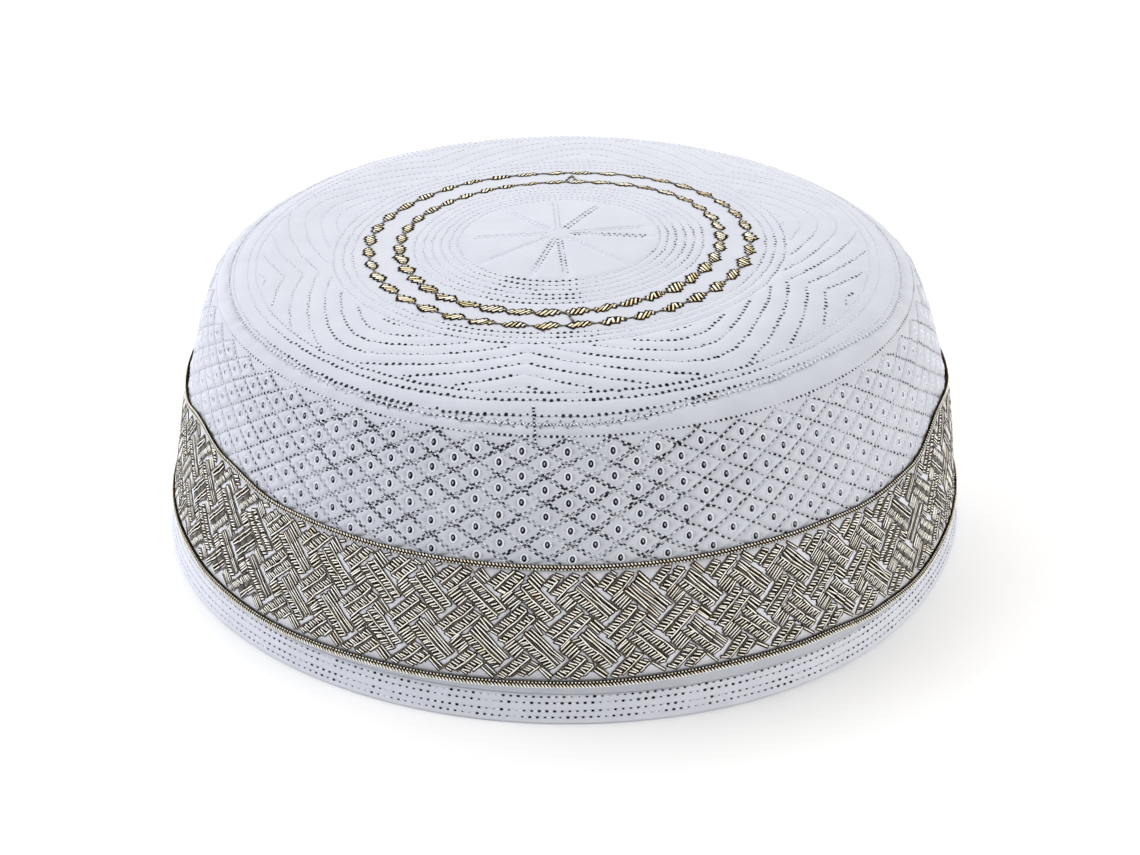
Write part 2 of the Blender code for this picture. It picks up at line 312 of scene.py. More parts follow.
def quilted(azimuth, distance):
    """Where a row at an even distance has come to lie: the rows and the seam wander round the crown."""
    first, last = DRIFT_STATIONS[0], DRIFT_STATIONS[-1]
    if distance <= first:
        drift = along_waves(ROW_DRIFT, azimuth, 1) * (distance / first) ** 2
    else:
        station = 1
        while station < len(DRIFT_STATIONS) - 1 and DRIFT_STATIONS[station] < distance:
            station += 1
        start, end = DRIFT_STATIONS[station - 1:station + 1]
        share = min((distance - start) / (end - start), 1.0)
        drift = (1.0 - share) * along_waves(ROW_DRIFT, azimuth, station)
        drift += share * along_waves(ROW_DRIFT, azimuth, station + 1)
        drift *= min(1.0, (CROWN_SEAM_AT - distance) / DRIFT_ENDS_OVER)
    wander = along_waves(SEAM_WAVES, azimuth) * eased(1.0 - (CROWN_SEAM_AT - distance) / SEAM_WAVES_REACH)
    return distance + drift + wander


def petal_turn(azimuth):
    """Degrees from the nearest cusp of the petal pattern."""
    return abs(past_mark(azimuth, PETAL_CUSP_AT, 360.0 / PETALS))


def petal_rise(turn):
    """How far a petal row has risen at some degrees from its cusp: straight, then round at its tip."""
    tip = max(0.0, turn - (180.0 / PETALS - PETAL_TIP_DEGREES))
    return PETAL_RISE_PER_DEGREE * (turn - tip * tip / (2.0 * PETAL_TIP_DEGREES))


def valley_depth(azimuth):
    """How deep the stitches pull the cloth down: the thread was drawn tighter at the front."""
    tightness = along_waves(NEEDLE_HOLES, azimuth, CROWN_HOLES)
    return VALLEY_DEPTH * (LOOSE_VALLEY + (1.0 - LOOSE_VALLEY) * tightness)


def crown_relief(azimuth, distance):
    """The cloth's lift off its even surface, below nought where the rows of stitches pull it in."""
    valley = 0.0
    for row in (*MEDALLION_ROWS, *INNER_FIELD_ROWS, *RIM_ROWS):
        if abs(distance - row) < VALLEY_REACH:
            valley = max(valley, hump(distance - row, VALLEY_WIDTH))
    if PETAL_FIELD[0] < distance < PETAL_FIELD[1]:
        rows = (distance - PETAL_FIRST_ROW - petal_rise(petal_turn(azimuth))) / PETAL_ROW_STEP
        valley = max(valley, hump((rows - round(rows)) * PETAL_ROW_STEP, VALLEY_WIDTH))
    if SPOKE_START < distance < SPOKE_END:
        for spoke, _ in SPOKES:
            away = past_mark(azimuth, spoke)
            if abs(away) < SPOKE_VALLEY_DEGREES:
                valley = max(valley, hump(distance * math.radians(away), SPOKE_VALLEY_WIDTH))
    return -valley_depth(azimuth) * valley - SEAM_ROLL * hump(CROWN_SEAM_AT - distance, SEAM_ROLL_WIDTH)


def kept_mesh(name, shape, welded=False):
    """Keep a shape as a mesh, where asked with the points joined that lie on one another."""
    if welded:
        bmesh.ops.remove_doubles(shape, verts=shape.verts, dist=WELD_WITHIN)
    mesh = bpy.data.meshes.new(name)
    shape.to_mesh(mesh)
    shape.free()
    return mesh


def closed_rows(rows, pole_first=False):
    """A shape from rows of points that each go once round, with a flat UV map in millimetres."""
    shape = bmesh.new()
    layer = shape.loops.layers.uv.new("cloth")
    made = [[(shape.verts.new(point), u, v) for point, u, v in row] for row in rows]
    if pole_first:
        middle = shape.verts.new(rows[0][0][0])
        for vertex, _, _ in made[0]:
            shape.verts.remove(vertex)
        made[0] = [(middle, u, v) for _, u, v in rows[0]]
    for upper, lower in zip(made, made[1:]):
        for column in range(len(upper)):
            following = (column + 1) % len(upper)
            corners = [upper[column], lower[column], lower[following], upper[following]]
            if pole_first and upper is made[0]:
                corners.pop()
            face = shape.faces.new([corner[0] for corner in corners])
            face.smooth = True
            for loop, (_, u, v) in zip(face.loops, corners):
                loop[layer].uv = (u, v)
    return shape


def new_piece(name, mesh, *finishes):
    """Link a mesh as a piece of the cap that rides on its one body."""
    for finish in finishes:
        mesh.materials.append(finish)
    piece = bpy.data.objects.new(name, mesh)
    bpy.context.scene.collection.objects.link(piece)
    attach(piece, "root")
    return piece


def node(tree, kind, links=None, **settings):
    """A shader or geometry node, its settings, and what goes into its sockets."""
    made = tree.nodes.new(kind)
    for name, value in settings.items():
        setattr(made, name, value)
    for socket, value in (links or {}).items():
        if isinstance(value, bpy.types.NodeSocket):
            tree.links.new(value, made.inputs[socket])
        else:
            made.inputs[socket].default_value = value
    return made


def new_material(name, **looks):
    """A material with its shader's plain looks set: itself, its tree, its shader and its object's space."""
    made = bpy.data.materials.new(name)
    made.use_nodes = True
    shader = made.node_tree.nodes["Principled BSDF"]
    for socket, value in looks.items():
        shader.inputs[socket.replace("_", " ")].default_value = value
    spot = node(made.node_tree, "ShaderNodeTexCoord").outputs["Object"]
    return made, made.node_tree, shader, spot


def shades(tree, amount, colours, start=0.0, end=1.0):
    """A colour that runs evenly through some shades while an amount rises from start to end."""
    ramp = node(tree, "ShaderNodeValToRGB", {"Fac": amount})
    stops = ramp.color_ramp.elements
    stops[0].position = start
    stops[1].position = end
    stops[0].color = (*colours[0], 1.0)
    stops[1].color = (*colours[-1], 1.0)
    for number, colour in enumerate(colours[1:-1], start=1):
        stops.new(start + (end - start) * number / (len(colours) - 1)).color = (*colour, 1.0)
    return ramp.outputs["Color"]


def cotton(name, pale, shaded, grain=0.30 * MM, rumple=0.10 * MM):
    """White cotton: a fine plain weave, small rumples, faint mottling and a soft sheen."""
    made, tree, shader, spot = new_material(
        name, Roughness=0.85, Specular_IOR_Level=0.25, Sheen_Weight=0.15, Sheen_Roughness=0.5)
    mottling = node(tree, "ShaderNodeTexNoise", {"Vector": spot, "Scale": MOTTLES_PER_METRE, "Detail": 3.0})
    tone = shades(tree, mottling.outputs["Fac"], (shaded, pale), 0.35, 0.65)
    tree.links.new(tone, shader.inputs["Base Color"])
    flat = node(tree, "ShaderNodeUVMap", uv_map="cloth").outputs["UV"]
    threads = []
    for direction in ("X", "Y"):
        wave = node(
            tree, "ShaderNodeTexWave", {"Vector": flat, "Scale": WAVE_LENGTH * MM / grain, "Distortion": 0.6},
            bands_direction=direction)
        threads.append(wave.outputs["Fac"])
    weave = node(tree, "ShaderNodeMath", {0: threads[0], 1: threads[1]}, operation="MULTIPLY")
    fine = node(
        tree, "ShaderNodeBump", {"Height": weave.outputs[0], "Strength": 0.25, "Distance": 0.02 * MM})
    creases = node(tree, "ShaderNodeTexNoise", {"Vector": spot, "Scale": CREASES_PER_METRE, "Detail": 2.0})
    bump = node(
        tree, "ShaderNodeBump",
        {"Height": creases.outputs["Fac"], "Strength": 0.5, "Distance": rumple,
         "Normal": fine.outputs["Normal"]})
    tree.links.new(bump.outputs["Normal"], shader.inputs["Normal"])
    return made


CROWN_COTTON = cotton("crown cotton", (0.514, 0.528, 0.584), (0.488, 0.503, 0.559))


def crown_mesh():
    """The quilted disc, its turned edge and its plain underside as one closed shell."""
    edge = CROWN_SEAM_AT - SEAM_SHOWS / 2
    rows = []

    def ring(distance, lift, relief=True):
        row = []
        for sector in range(CROWN_SECTORS):
            azimuth = 360.0 * sector / CROWN_SECTORS
            dip = crown_relief(azimuth, distance) if relief else 0.0
            point = place(azimuth, quilted(azimuth, distance), lift + dip)
            row.append((point, point.x / MM, point.y / MM))
        rows.append(row)

    for number in range(CROWN_RINGS + 1):
        ring(edge * number / CROWN_RINGS, 0.0)
    ring(edge, -QUILTED_CLOTH / 2, False)
    for number in range(CROWN_UNDER_RINGS):
        ring(edge * (CROWN_UNDER_RINGS - number) / CROWN_UNDER_RINGS, -QUILTED_CLOTH, False)
    shape = closed_rows(rows, pole_first=True)
    last_ring = [side for side in shape.edges if side.is_boundary]
    bmesh.ops.contextual_create(shape, geom=last_ring)
    return kept_mesh("crown", shape)


crown = new_piece("crown", crown_mesh(), CROWN_COTTON)
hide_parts("crown_panel")

# Crown stitches: white cotton thread run in and out through both layers by machine. Each stitch
# lies in the valley that it pulls, and the needle's holes show between the stitches as dots of painted shade.
STITCH_PITCH = 1.4 * MM
STITCH_LIFT = 0.06 * MM
STITCH_WANDER = 0.50 * MM
SPOKE_HALF_GAP = 0.55 * MM
PETAL_ROWS = 20
MEDALLION_HOLES = (
    # azimuth in degrees, how large the painted shade of the needle holes is in the rows inside and just
    # outside the gold rings
    (-176.0, 0.30),
    (-150.0, 0.12),
    (-124.0, 0.50),
    (-114.0, 0.90),
    (-84.0, 0.90),
    (-76.0, 0.25),
    (-45.0, 0.12),
    (-22.0, 0.55),
    (2.0, 0.60),
    (20.0, 0.20),
    (60.0, 0.06),
    (120.0, 0.06),
)

# How much the size of the holes' painted shade changes from one patch of cloth to the next
HOLE_PATCH = 5.0 * MM
HOLE_PATCH_STRENGTH = 1.2
PATCH_LEAST_ON_CROWN = 0.35
PATCH_LEAST_ON_SIDE = 0.60
PATCH_MOST = 1.20
LEAST_SHADE_SIZE = 0.08

# How coarse a thread and a needle mark are modelled, and how fine the thread's look is
THREAD_SIDES = 5
THREAD_RINGS = 3
HOLE_SIDES = 6
PATCHES_PER_METRE = 160.0
TWISTS_PER_METRE = 6000.0
SHADOWS_PER_METRE = 900.0
STITCH_COLUMNS = (
    # what each stitch tells the node tree after its middle, what kind of value that is
    ("along", "FLOAT_VECTOR"),
    ("up", "FLOAT_VECTOR"),
    ("reach", "FLOAT"),
    ("shade_size", "FLOAT"),
)


def laid_thread_tree():
    """One thread on each point, turned by its `along` and `up`, with painted shade beside or under it.

    A running stitch is a tapered thread with round dots of painted shade for its needle holes; a satin
    one is blunt, on a flat patch of painted shade for the gaps between threads.
    """
    tree = bpy.data.node_groups.new("laid threads", "GeometryNodeTree")
    sockets = tree.interface
    sockets.new_socket("Stitches", in_out="INPUT", socket_type="NodeSocketGeometry")
    for name in ("Thread Share", "Thread Width", "Thread Height", "Mark Length", "Mark Reach", "Mark Width",
                 "Mark Shift", "Mark Lift", "Unevenness"):
        sockets.new_socket(name, in_out="INPUT", socket_type="NodeSocketFloat")
    sockets.new_socket("Satin", in_out="INPUT", socket_type="NodeSocketBool")
    sockets.new_socket("Seed", in_out="INPUT", socket_type="NodeSocketInt")
    sockets.new_socket("Thread", in_out="INPUT", socket_type="NodeSocketMaterial")
    sockets.new_socket("Mark", in_out="INPUT", socket_type="NodeSocketMaterial")
    sockets.new_socket("Threads", in_out="OUTPUT", socket_type="NodeSocketGeometry")
    given = node(tree, "NodeGroupInput").outputs

    def worked_out(operation, first, second):
        return node(tree, "ShaderNodeMath", {0: first, 1: second}, operation=operation).outputs[0]

    def product(first, second):
        return worked_out("MULTIPLY", first, second)

    def at_random(low, high):
        return node(
            tree, "FunctionNodeRandomValue", {2: low, 3: high, "Seed": given["Seed"]}, data_type="FLOAT"
        ).outputs[1]

    def either(if_running, if_satin):
        return node(
            tree, "GeometryNodeSwitch", {"Switch": given["Satin"], "False": if_running, "True": if_satin},
            input_type="GEOMETRY").outputs["Output"]

    along, up, reach, shade_size = (
        node(tree, "GeometryNodeInputNamedAttribute", {"Name": name}, data_type=kind).outputs["Attribute"]
        for name, kind in STITCH_COLUMNS)
    turned = node(
        tree, "FunctionNodeAxesToRotation", {"Primary Axis": up, "Secondary Axis": along},
        primary_axis="Z", secondary_axis="X").outputs["Rotation"]
    uneven = at_random(
        worked_out("SUBTRACT", 1.0, given["Unevenness"]), worked_out("ADD", 1.0, given["Unevenness"]))

    tapered = node(
        tree, "GeometryNodeMeshUVSphere", {"Segments": THREAD_SIDES, "Rings": THREAD_RINGS, "Radius": 1.0}
    ).outputs["Mesh"]
    blunt = node(
        tree, "GeometryNodeMeshCylinder", {"Vertices": THREAD_SIDES, "Radius": 1.0, "Depth": 2.0},
        fill_type="NGON").outputs["Mesh"]
    lying = node(
        tree, "GeometryNodeTransform",
        {"Geometry": either(tapered, blunt), "Rotation": (0.0, math.pi / 2, 0.0)})
    half_length = product(product(reach, given["Thread Share"]), 0.5)
    half_width = product(product(given["Thread Width"], uneven), 0.5)
    thread_size = node(
        tree, "ShaderNodeCombineXYZ",
        {"X": half_length, "Y": half_width, "Z": product(given["Thread Height"], uneven)}).outputs[0]
    threads = node(
        tree, "GeometryNodeInstanceOnPoints",
        {"Points": given["Stitches"], "Instance": lying.outputs["Geometry"], "Rotation": turned,
         "Scale": thread_size}).outputs["Instances"]
    tinted = node(
        tree, "GeometryNodeStoreNamedAttribute",
        {"Geometry": threads, "Name": "tint", "Value": at_random(0.0, 1.0)},
        data_type="FLOAT", domain="INSTANCE").outputs["Geometry"]
    solid = node(tree, "GeometryNodeRealizeInstances", {"Geometry": tinted}).outputs["Geometry"]
    smooth = node(tree, "GeometryNodeSetShadeSmooth", {"Geometry": solid}).outputs["Geometry"]
    spun = node(tree, "GeometryNodeSetMaterial", {"Geometry": smooth, "Material": given["Thread"]})

    def moved(vector, amount):
        return node(
            tree, "ShaderNodeVectorMath", {0: vector, "Scale": amount}, operation="SCALE").outputs["Vector"]

    shift = node(
        tree, "ShaderNodeVectorMath",
        {0: moved(along, product(reach, given["Mark Shift"])), 1: moved(up, given["Mark Lift"])},
        operation="ADD").outputs["Vector"]
    spots = node(tree, "GeometryNodeSetPosition", {"Geometry": given["Stitches"], "Offset": shift})
    disc = node(
        tree, "GeometryNodeMeshCircle", {"Vertices": HOLE_SIDES, "Radius": 0.5}, fill_type="NGON"
    ).outputs["Mesh"]
    patch = node(
        tree, "GeometryNodeMeshGrid", {"Size X": 1.0, "Size Y": 1.0, "Vertices X": 2, "Vertices Y": 2}
    ).outputs["Mesh"]
    mark_length = worked_out(
        "ADD", product(product(given["Mark Length"], uneven), shade_size), product(given["Mark Reach"], reach))
    mark_width = product(product(given["Mark Width"], uneven), shade_size)
    mark_size = node(tree, "ShaderNodeCombineXYZ", {"X": mark_length, "Y": mark_width, "Z": 1.0}).outputs[0]
    marks = node(
        tree, "GeometryNodeInstanceOnPoints",
        {"Points": spots.outputs["Geometry"], "Instance": either(disc, patch), "Rotation": turned,
         "Scale": mark_size}).outputs["Instances"]
    flat = node(tree, "GeometryNodeRealizeInstances", {"Geometry": marks}).outputs["Geometry"]
    shade_marks = node(tree, "GeometryNodeSetMaterial", {"Geometry": flat, "Material": given["Mark"]})
    joined = node(tree, "GeometryNodeJoinGeometry")
    tree.links.new(spun.outputs["Geometry"], joined.inputs[0])
    tree.links.new(shade_marks.outputs["Geometry"], joined.inputs[0])
    node(tree, "NodeGroupOutput", {"Threads": joined.outputs["Geometry"]})
    return tree


LAID_THREADS = laid_thread_tree()


def stitch(start, end, lift, shade_size=1.0):
    """One thread between two (azimuth, distance) places: middle, direction, normal, length, its hole's shade
    size.
    """
    middle = ((start[0] + end[0]) / 2, (start[1] + end[1]) / 2)
    first = place(*start, lift)
    last = place(*end, lift)
    heart = place(*middle, lift)
    up = (place(*middle, lift + MM) - heart).normalized()
    along = last - first
    return heart, along.normalized(), up, along.length, shade_size


def threads_piece(name, stitches, thread, mark, **sizes):
    """Lay a thread on every stitch with the node tree and keep the result as a plain mesh."""
    mesh = bpy.data.meshes.new(name)
    mesh.from_pydata([row[0] for row in stitches], [], [])
    for column, (attribute, kind) in enumerate(STITCH_COLUMNS, start=1):
        values = mesh.attributes.new(attribute, kind, "POINT").data
        for value, row in zip(values, stitches):
            if kind == "FLOAT":
                value.value = row[column]
            else:
                value.vector = row[column]
    piece = bpy.data.objects.new(name, mesh)
    bpy.context.scene.collection.objects.link(piece)
    modifier = piece.modifiers.new("threads", "NODES")
    modifier.node_group = LAID_THREADS
    items = LAID_THREADS.interface.items_tree
    for socket, value in {"Thread": thread, "Mark": mark, **sizes}.items():
        modifier[items[socket.replace("_", " ")].identifier] = value
    seen = piece.evaluated_get(bpy.context.evaluated_depsgraph_get())
    plain = bpy.data.meshes.new_from_object(seen)
    piece.modifiers.remove(modifier)
    piece.data = plain
    bpy.data.meshes.remove(mesh)
    for attribute, _ in STITCH_COLUMNS:
        if attribute in plain.attributes:
            plain.attributes.remove(plain.attributes[attribute])
    plain.name = name
    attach(piece, "root")
    return piece


def spun_thread(name, colours, roughness, metallic=0.0, patchy=0.0):
    """Twisted thread: its tint changes from stitch to stitch, and in patches, with a fine twist."""
    made, tree, shader, spot = new_material(name, Roughness=roughness, Metallic=metallic, Sheen_Weight=0.2)
    tint = node(tree, "ShaderNodeAttribute", attribute_name="tint").outputs["Fac"]
    patches = node(tree, "ShaderNodeTexNoise", {"Vector": spot, "Scale": PATCHES_PER_METRE, "Detail": 1.0})
    blended = node(
        tree, "ShaderNodeMix", {0: patchy, 2: tint, 3: patches.outputs["Fac"]}, data_type="FLOAT").outputs[0]
    tree.links.new(shades(tree, blended, colours), shader.inputs["Base Color"])
    twist = node(tree, "ShaderNodeTexNoise", {"Vector": spot, "Scale": TWISTS_PER_METRE, "Detail": 1.0})
    bump = node(
        tree, "ShaderNodeBump", {"Height": twist.outputs["Fac"], "Strength": 0.3, "Distance": 0.03 * MM})
    tree.links.new(bump.outputs["Normal"], shader.inputs["Normal"])
    return made


def shadowed(name, dark, less_dark):
    """Painted shade: the dark of a needle hole or of the gaps between threads, a little uneven."""
    made, tree, shader, spot = new_material(name, Roughness=1.0, Specular_IOR_Level=0.0)
    shadows = node(tree, "ShaderNodeTexNoise", {"Vector": spot, "Scale": SHADOWS_PER_METRE, "Detail": 1.0})
    tone = shades(tree, shadows.outputs["Fac"], (dark, less_dark), 0.4, 0.6)
    tree.links.new(tone, shader.inputs["Base Color"])
    return made


CROWN_THREAD = spun_thread("crown thread", ((0.52, 0.535, 0.60), (0.66, 0.675, 0.74)), 0.6)
# Painted shade: the dark dots laid on the cloth at the needle holes, for the shade inside the holes.
NEEDLE_HOLE_SHADE = shadowed("needle hole", (0.012, 0.013, 0.018), (0.045, 0.048, 0.06))


def hole_shade_size(azimuth, distance, column, shade_by_azimuth=NEEDLE_HOLES):
    """How large a needle hole's painted shade is: larger towards the front, where the holes' shade shows, and
    uneven from patch to patch.
    """
    turn = math.radians(azimuth)
    spot = Vector((math.cos(turn), math.sin(turn), 0.0)) * (distance / HOLE_PATCH)
    least = PATCH_LEAST_ON_SIDE if column in (RISING_HOLES, FALLING_HOLES) else PATCH_LEAST_ON_CROWN
    patch = min(max(1.0 + HOLE_PATCH_STRENGTH * noise.noise(spot), least), PATCH_MOST)
    return max(along_waves(shade_by_azimuth, azimuth, column) * patch, LEAST_SHADE_SIZE)


def wandered(azimuth, distance):
    """A needle hole as it was really sewn, a little off its line."""
    return azimuth, distance + STITCH_WANDER * noise.noise(Vector((azimuth, distance / MM, 0.0)))


def crown_stitches():
    """Every running stitch of the crown: rings, spokes in pairs, and the petal rows."""
    made = []

    def run(holes, closed=False, column=CROWN_HOLES, shade_by_azimuth=NEEDLE_HOLES):
        holes = [wandered(*hole) for hole in holes]
        ends = holes[1:] + (holes[:1] if closed else [])
        for start, end in zip(holes, ends):
            if closed and end[0] < start[0]:
                end = (end[0] + 360.0, end[1])
            shade_size = hole_shade_size(*end, column, shade_by_azimuth)
            made.append(stitch(start, end, STITCH_LIFT - valley_depth(end[0]), shade_size))

    for rows, column, shade_by_azimuth in (
            ((*MEDALLION_ROWS, *INNER_FIELD_ROWS), CROWN_HOLES, MEDALLION_HOLES),
            (RIM_ROWS, RIM_HOLES, NEEDLE_HOLES)):
        for row in rows:
            count = stitches_round(row, STITCH_PITCH)
            azimuths = [360.0 * number / count for number in range(count)]
            holes = [(azimuth, quilted(azimuth, row)) for azimuth in azimuths]
            run(holes, closed=True, column=column, shade_by_azimuth=shade_by_azimuth)
    for spoke, spoke_shade in SPOKES:
        for side in (-1.0, 1.0):
            count = int((SPOKE_END - SPOKE_START) / STITCH_PITCH)
            distances = [SPOKE_START + STITCH_PITCH * (number + 0.25 * side) for number in range(count)]
            holes = [
                (spoke + math.degrees(side * SPOKE_HALF_GAP / distance), distance) for distance in distances]
            run(holes, shade_by_azimuth=((0.0, spoke_shade), (180.0, spoke_shade)))
    sector = 360.0 / PETALS
    for petal in range(PETALS):
        for side in (-1.0, 1.0):
            for number in range(PETAL_ROWS):
                apex = PETAL_FIRST_ROW + PETAL_ROW_STEP * number
                holes = []
                turn = max(0.0, (PETAL_FIELD[0] - apex) / PETAL_RISE_PER_DEGREE)
                while turn <= sector / 2:
                    distance = apex + petal_rise(turn)
                    if distance > PETAL_FIELD[1]:
                        break
                    azimuth = PETAL_CUSP_AT + sector * petal + side * turn
                    holes.append((azimuth, quilted(azimuth, distance)))
                    climb = petal_rise(turn + 0.5) - petal_rise(turn - 0.5)
                    turn += STITCH_PITCH / math.hypot(climb, math.radians(on_cloth(distance)[0]))
                run(holes)
    return made


crown_thread = threads_piece(
    "crown_stitches", crown_stitches(), CROWN_THREAD, NEEDLE_HOLE_SHADE, Thread_Share=0.58,
    Thread_Width=0.34 * MM, Thread_Height=0.12 * MM, Mark_Length=0.64 * MM, Mark_Reach=0.0,
    Mark_Width=0.80 * MM, Mark_Shift=0.5, Mark_Lift=0.05 * MM, Unevenness=0.18, Satin=False, Seed=3)

# Embroidered rings: two chains of small leaves in gold thread, satin-stitched on the slant, with a
# thin dark line from leaf to leaf. At the front a jump thread crosses, and at the back is a loop.
RINGS = (
    # name, node, even distance from the crown's middle, column of the ring's waves, seed
    ("ring_inner_threads", "ring_inner", 36.9 * MM, 1, 5),
    ("ring_outer_threads", "ring_outer", 43.6 * MM, 2, 8),
)
RING_WAVES = (
    # azimuth in degrees, how far each ring lies outside its even circle: inner, outer
    (-166.0, -0.8 * MM, -0.6 * MM),
    (-120.0, 0.9 * MM, 0.1 * MM),
    (-90.0, 1.1 * MM, 0.1 * MM),
    (-60.0, 0.5 * MM, 0.1 * MM),
    (-25.0, -0.2 * MM, -0.2 * MM),
    (35.0, 0.2 * MM, -0.3 * MM),
    (90.0, -2.4 * MM, -2.2 * MM),
    (128.0, -1.7 * MM, -0.7 * MM),
    (165.0, -0.8 * MM, -0.2 * MM),
)
RING_LEAVES = 39
RING_FIRST_LEAF_AT = -93.0
LEAF_THREADS = (
    # place along the leaf, half its width, both in shares
    (-1.0, 0.40),
    (-0.5, 0.85),
    (0.0, 1.00),
    (0.5, 0.85),
    (1.0, 0.40),
)
LEAF_HALF_LENGTH = 2.05 * MM
LEAF_HALF_WIDTH = 1.15 * MM
LEAF_UNEVENNESS = 0.25
LEAF_BROADER_AT_FRONT = 0.22
LEAF_SLANT = 0.75
SLANT_UNEVENNESS = 0.8
THREAD_ASTRAY = 0.9
THREAD_END_ASTRAY = 0.5
LINK_STITCHES = 2
RING_LIFT = 0.14 * MM
STRAY_THREADS = (
    # azimuth and even distance of each turn, first the jump at the front, then the loop at the back
    ((-88.4, 38.0 * MM), (-87.0, 38.3 * MM), (-86.2, 40.4 * MM), (-85.5, 42.6 * MM)),
    ((83.0, 35.2 * MM), (84.6, 37.6 * MM), (85.4, 39.4 * MM), (86.6, 37.0 * MM), (87.4, 35.4 * MM)),
)

RING_THREAD = spun_thread(
    "ring gold thread", ((0.60, 0.38, 0.08), (0.88, 0.72, 0.36), (0.97, 0.93, 0.78), (0.76, 0.55, 0.16)),
    0.45, 0.10, patchy=0.35)
DARK_THREAD = spun_thread("dark thread", ((0.020, 0.014, 0.008), (0.060, 0.042, 0.022)), 0.6)
# Painted shade: flat dark patches under satin threads and cord strands, and the cords' cores, for the shade
# in the gaps between threads.
THREAD_SHADE = shadowed("thread painted shade", (0.012, 0.008, 0.004), (0.036, 0.024, 0.013))


def ring_stitches(distance, wave):
    """The slanted satin threads of one ring's leaves, and the thin links from leaf to leaf."""
    leaves = []
    links = []
    per_metre = degrees_per_metre(distance)
    pitch = 360.0 / RING_LEAVES
    half_leaf = LEAF_HALF_LENGTH * per_metre

    def on_ring(azimuth, outward=0.0):
        return azimuth, distance + along_waves(RING_WAVES, azimuth, wave) + outward

    for leaf in range(RING_LEAVES):
        middle = RING_FIRST_LEAF_AT + pitch * leaf
        wobble = noise.noise(Vector((leaf * 2.3, distance / MM, 0.0)))
        for along, breadth in LEAF_THREADS:
            azimuth = middle + along * half_leaf
            astray = noise.noise(Vector((leaf * 3.1, along * 2.7, distance / MM)))
            broader = LEAF_UNEVENNESS * wobble - LEAF_BROADER_AT_FRONT * math.sin(math.radians(azimuth))
            half = breadth * LEAF_HALF_WIDTH * (1.0 + broader)
            slant = LEAF_SLANT * (1.0 - SLANT_UNEVENNESS * wobble + THREAD_ASTRAY * astray)
            lean = half * slant * per_metre
            outer = half * (1.0 + THREAD_END_ASTRAY * astray)
            leaves.append(stitch(on_ring(azimuth - lean, outer), on_ring(azimuth + lean, -half), RING_LIFT))
        link_step = (pitch - 2.0 * half_leaf) / LINK_STITCHES
        for number in range(LINK_STITCHES):
            start = middle + half_leaf + link_step * number
            links.append(stitch(on_ring(start), on_ring(start + link_step), RING_LIFT))
    return leaves, links


link_stitches = []
for ring_name, ring_node, ring_distance, ring_wave, ring_seed in RINGS:
    ring_leaves, ring_links = ring_stitches(ring_distance, ring_wave)
    link_stitches += ring_links
    # Each satin thread of a leaf lies on a patch of painted shade that darkens the gaps between threads.
    ring = threads_piece(
        ring_name, ring_leaves, RING_THREAD, THREAD_SHADE, Thread_Share=0.80, Thread_Width=0.42 * MM,
        Thread_Height=0.06 * MM, Mark_Length=0.50 * MM, Mark_Reach=1.0, Mark_Width=1.20 * MM,
        Mark_Shift=0.0, Mark_Lift=-0.04 * MM, Unevenness=0.45, Satin=True, Seed=ring_seed)
    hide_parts(ring_node)
for turns in STRAY_THREADS:
    for stray_start, stray_end in zip(turns, turns[1:]):
        link_stitches.append(stitch(stray_start, stray_end, RING_LIFT))
ring_links = threads_piece(
    "ring_links", link_stitches, DARK_THREAD, THREAD_SHADE, Thread_Share=0.90, Thread_Width=0.62 * MM,
    Thread_Height=0.12 * MM, Mark_Length=0.0, Mark_Reach=0.8, Mark_Width=0.30 * MM, Mark_Shift=0.0,
    Mark_Lift=-0.08 * MM, Unevenness=0.15, Satin=True, Seed=9)

# Side wall: the same quilted cotton, cut as a flared strip and seamed to the crown. Embroidered
# eyelets pierce its outer layer down to the lining, each in the middle of a diamond drawn by
# crossing pairs of stitch lines.
SEAM_GAP = 0.3 * MM
EYELET_COLUMNS = 57
EYELET_ROWS_AT = (
    83.05 * MM, 85.45 * MM, 88.0 * MM, 90.65 * MM, 93.3 * MM,
    96.1 * MM, 99.0 * MM, 101.9 * MM, 104.9 * MM, 107.2 * MM)
EYELET_FIRST_TURN = -83.7
EYELET_WAVES = (
    # azimuth in degrees, slide along the rows in degrees at rows 0, 4 and 8, drop at rows 0, 4 and 8
    (-150.0, 0.30, 2.15, 2.80, -0.25 * MM, -0.70 * MM, -0.70 * MM),
    (-134.0, 0.30, 1.35, 2.40, -0.15 * MM, -0.45 * MM, -0.45 * MM),
    (-121.0, 0.30, 0.70, 1.55, 0.00 * MM, -0.20 * MM, -0.20 * MM),
    (-105.0, 0.30, 0.45, 0.95, 0.00 * MM, 0.00 * MM, 0.00 * MM),
    (-70.0, 0.45, 0.45, 0.85, 0.00 * MM, 0.00 * MM, 0.00 * MM),
    (-58.0, 0.60, 0.40, 0.80, 0.00 * MM, 0.15 * MM, 0.30 * MM),
    (-46.0, 0.50, -0.50, -0.20, 0.20 * MM, 0.60 * MM, 0.90 * MM),
    (-36.0, 0.45, -1.30, -1.40, 0.35 * MM, 0.85 * MM, 1.05 * MM),
    (-20.0, 0.40, -1.50, -1.70, 0.30 * MM, 0.80 * MM, 1.00 * MM),
    (60.0, 0.00, 0.00, 0.00, 0.00 * MM, 0.00 * MM, 0.00 * MM),
    (150.0, 0.00, 0.00, 0.00, 0.00 * MM, 0.00 * MM, 0.00 * MM),
)
EYELET_SLIDE, EYELET_DROP = 1, 4
EYELET_WAVES_ROWS = 4.0
EYELET_HALF_WIDTH = 0.55 * MM
EYELET_HALF_HEIGHT = 0.78 * MM
EYELET_DEPTH = 0.30 * MM
CLOSED_EYELET = 0.55

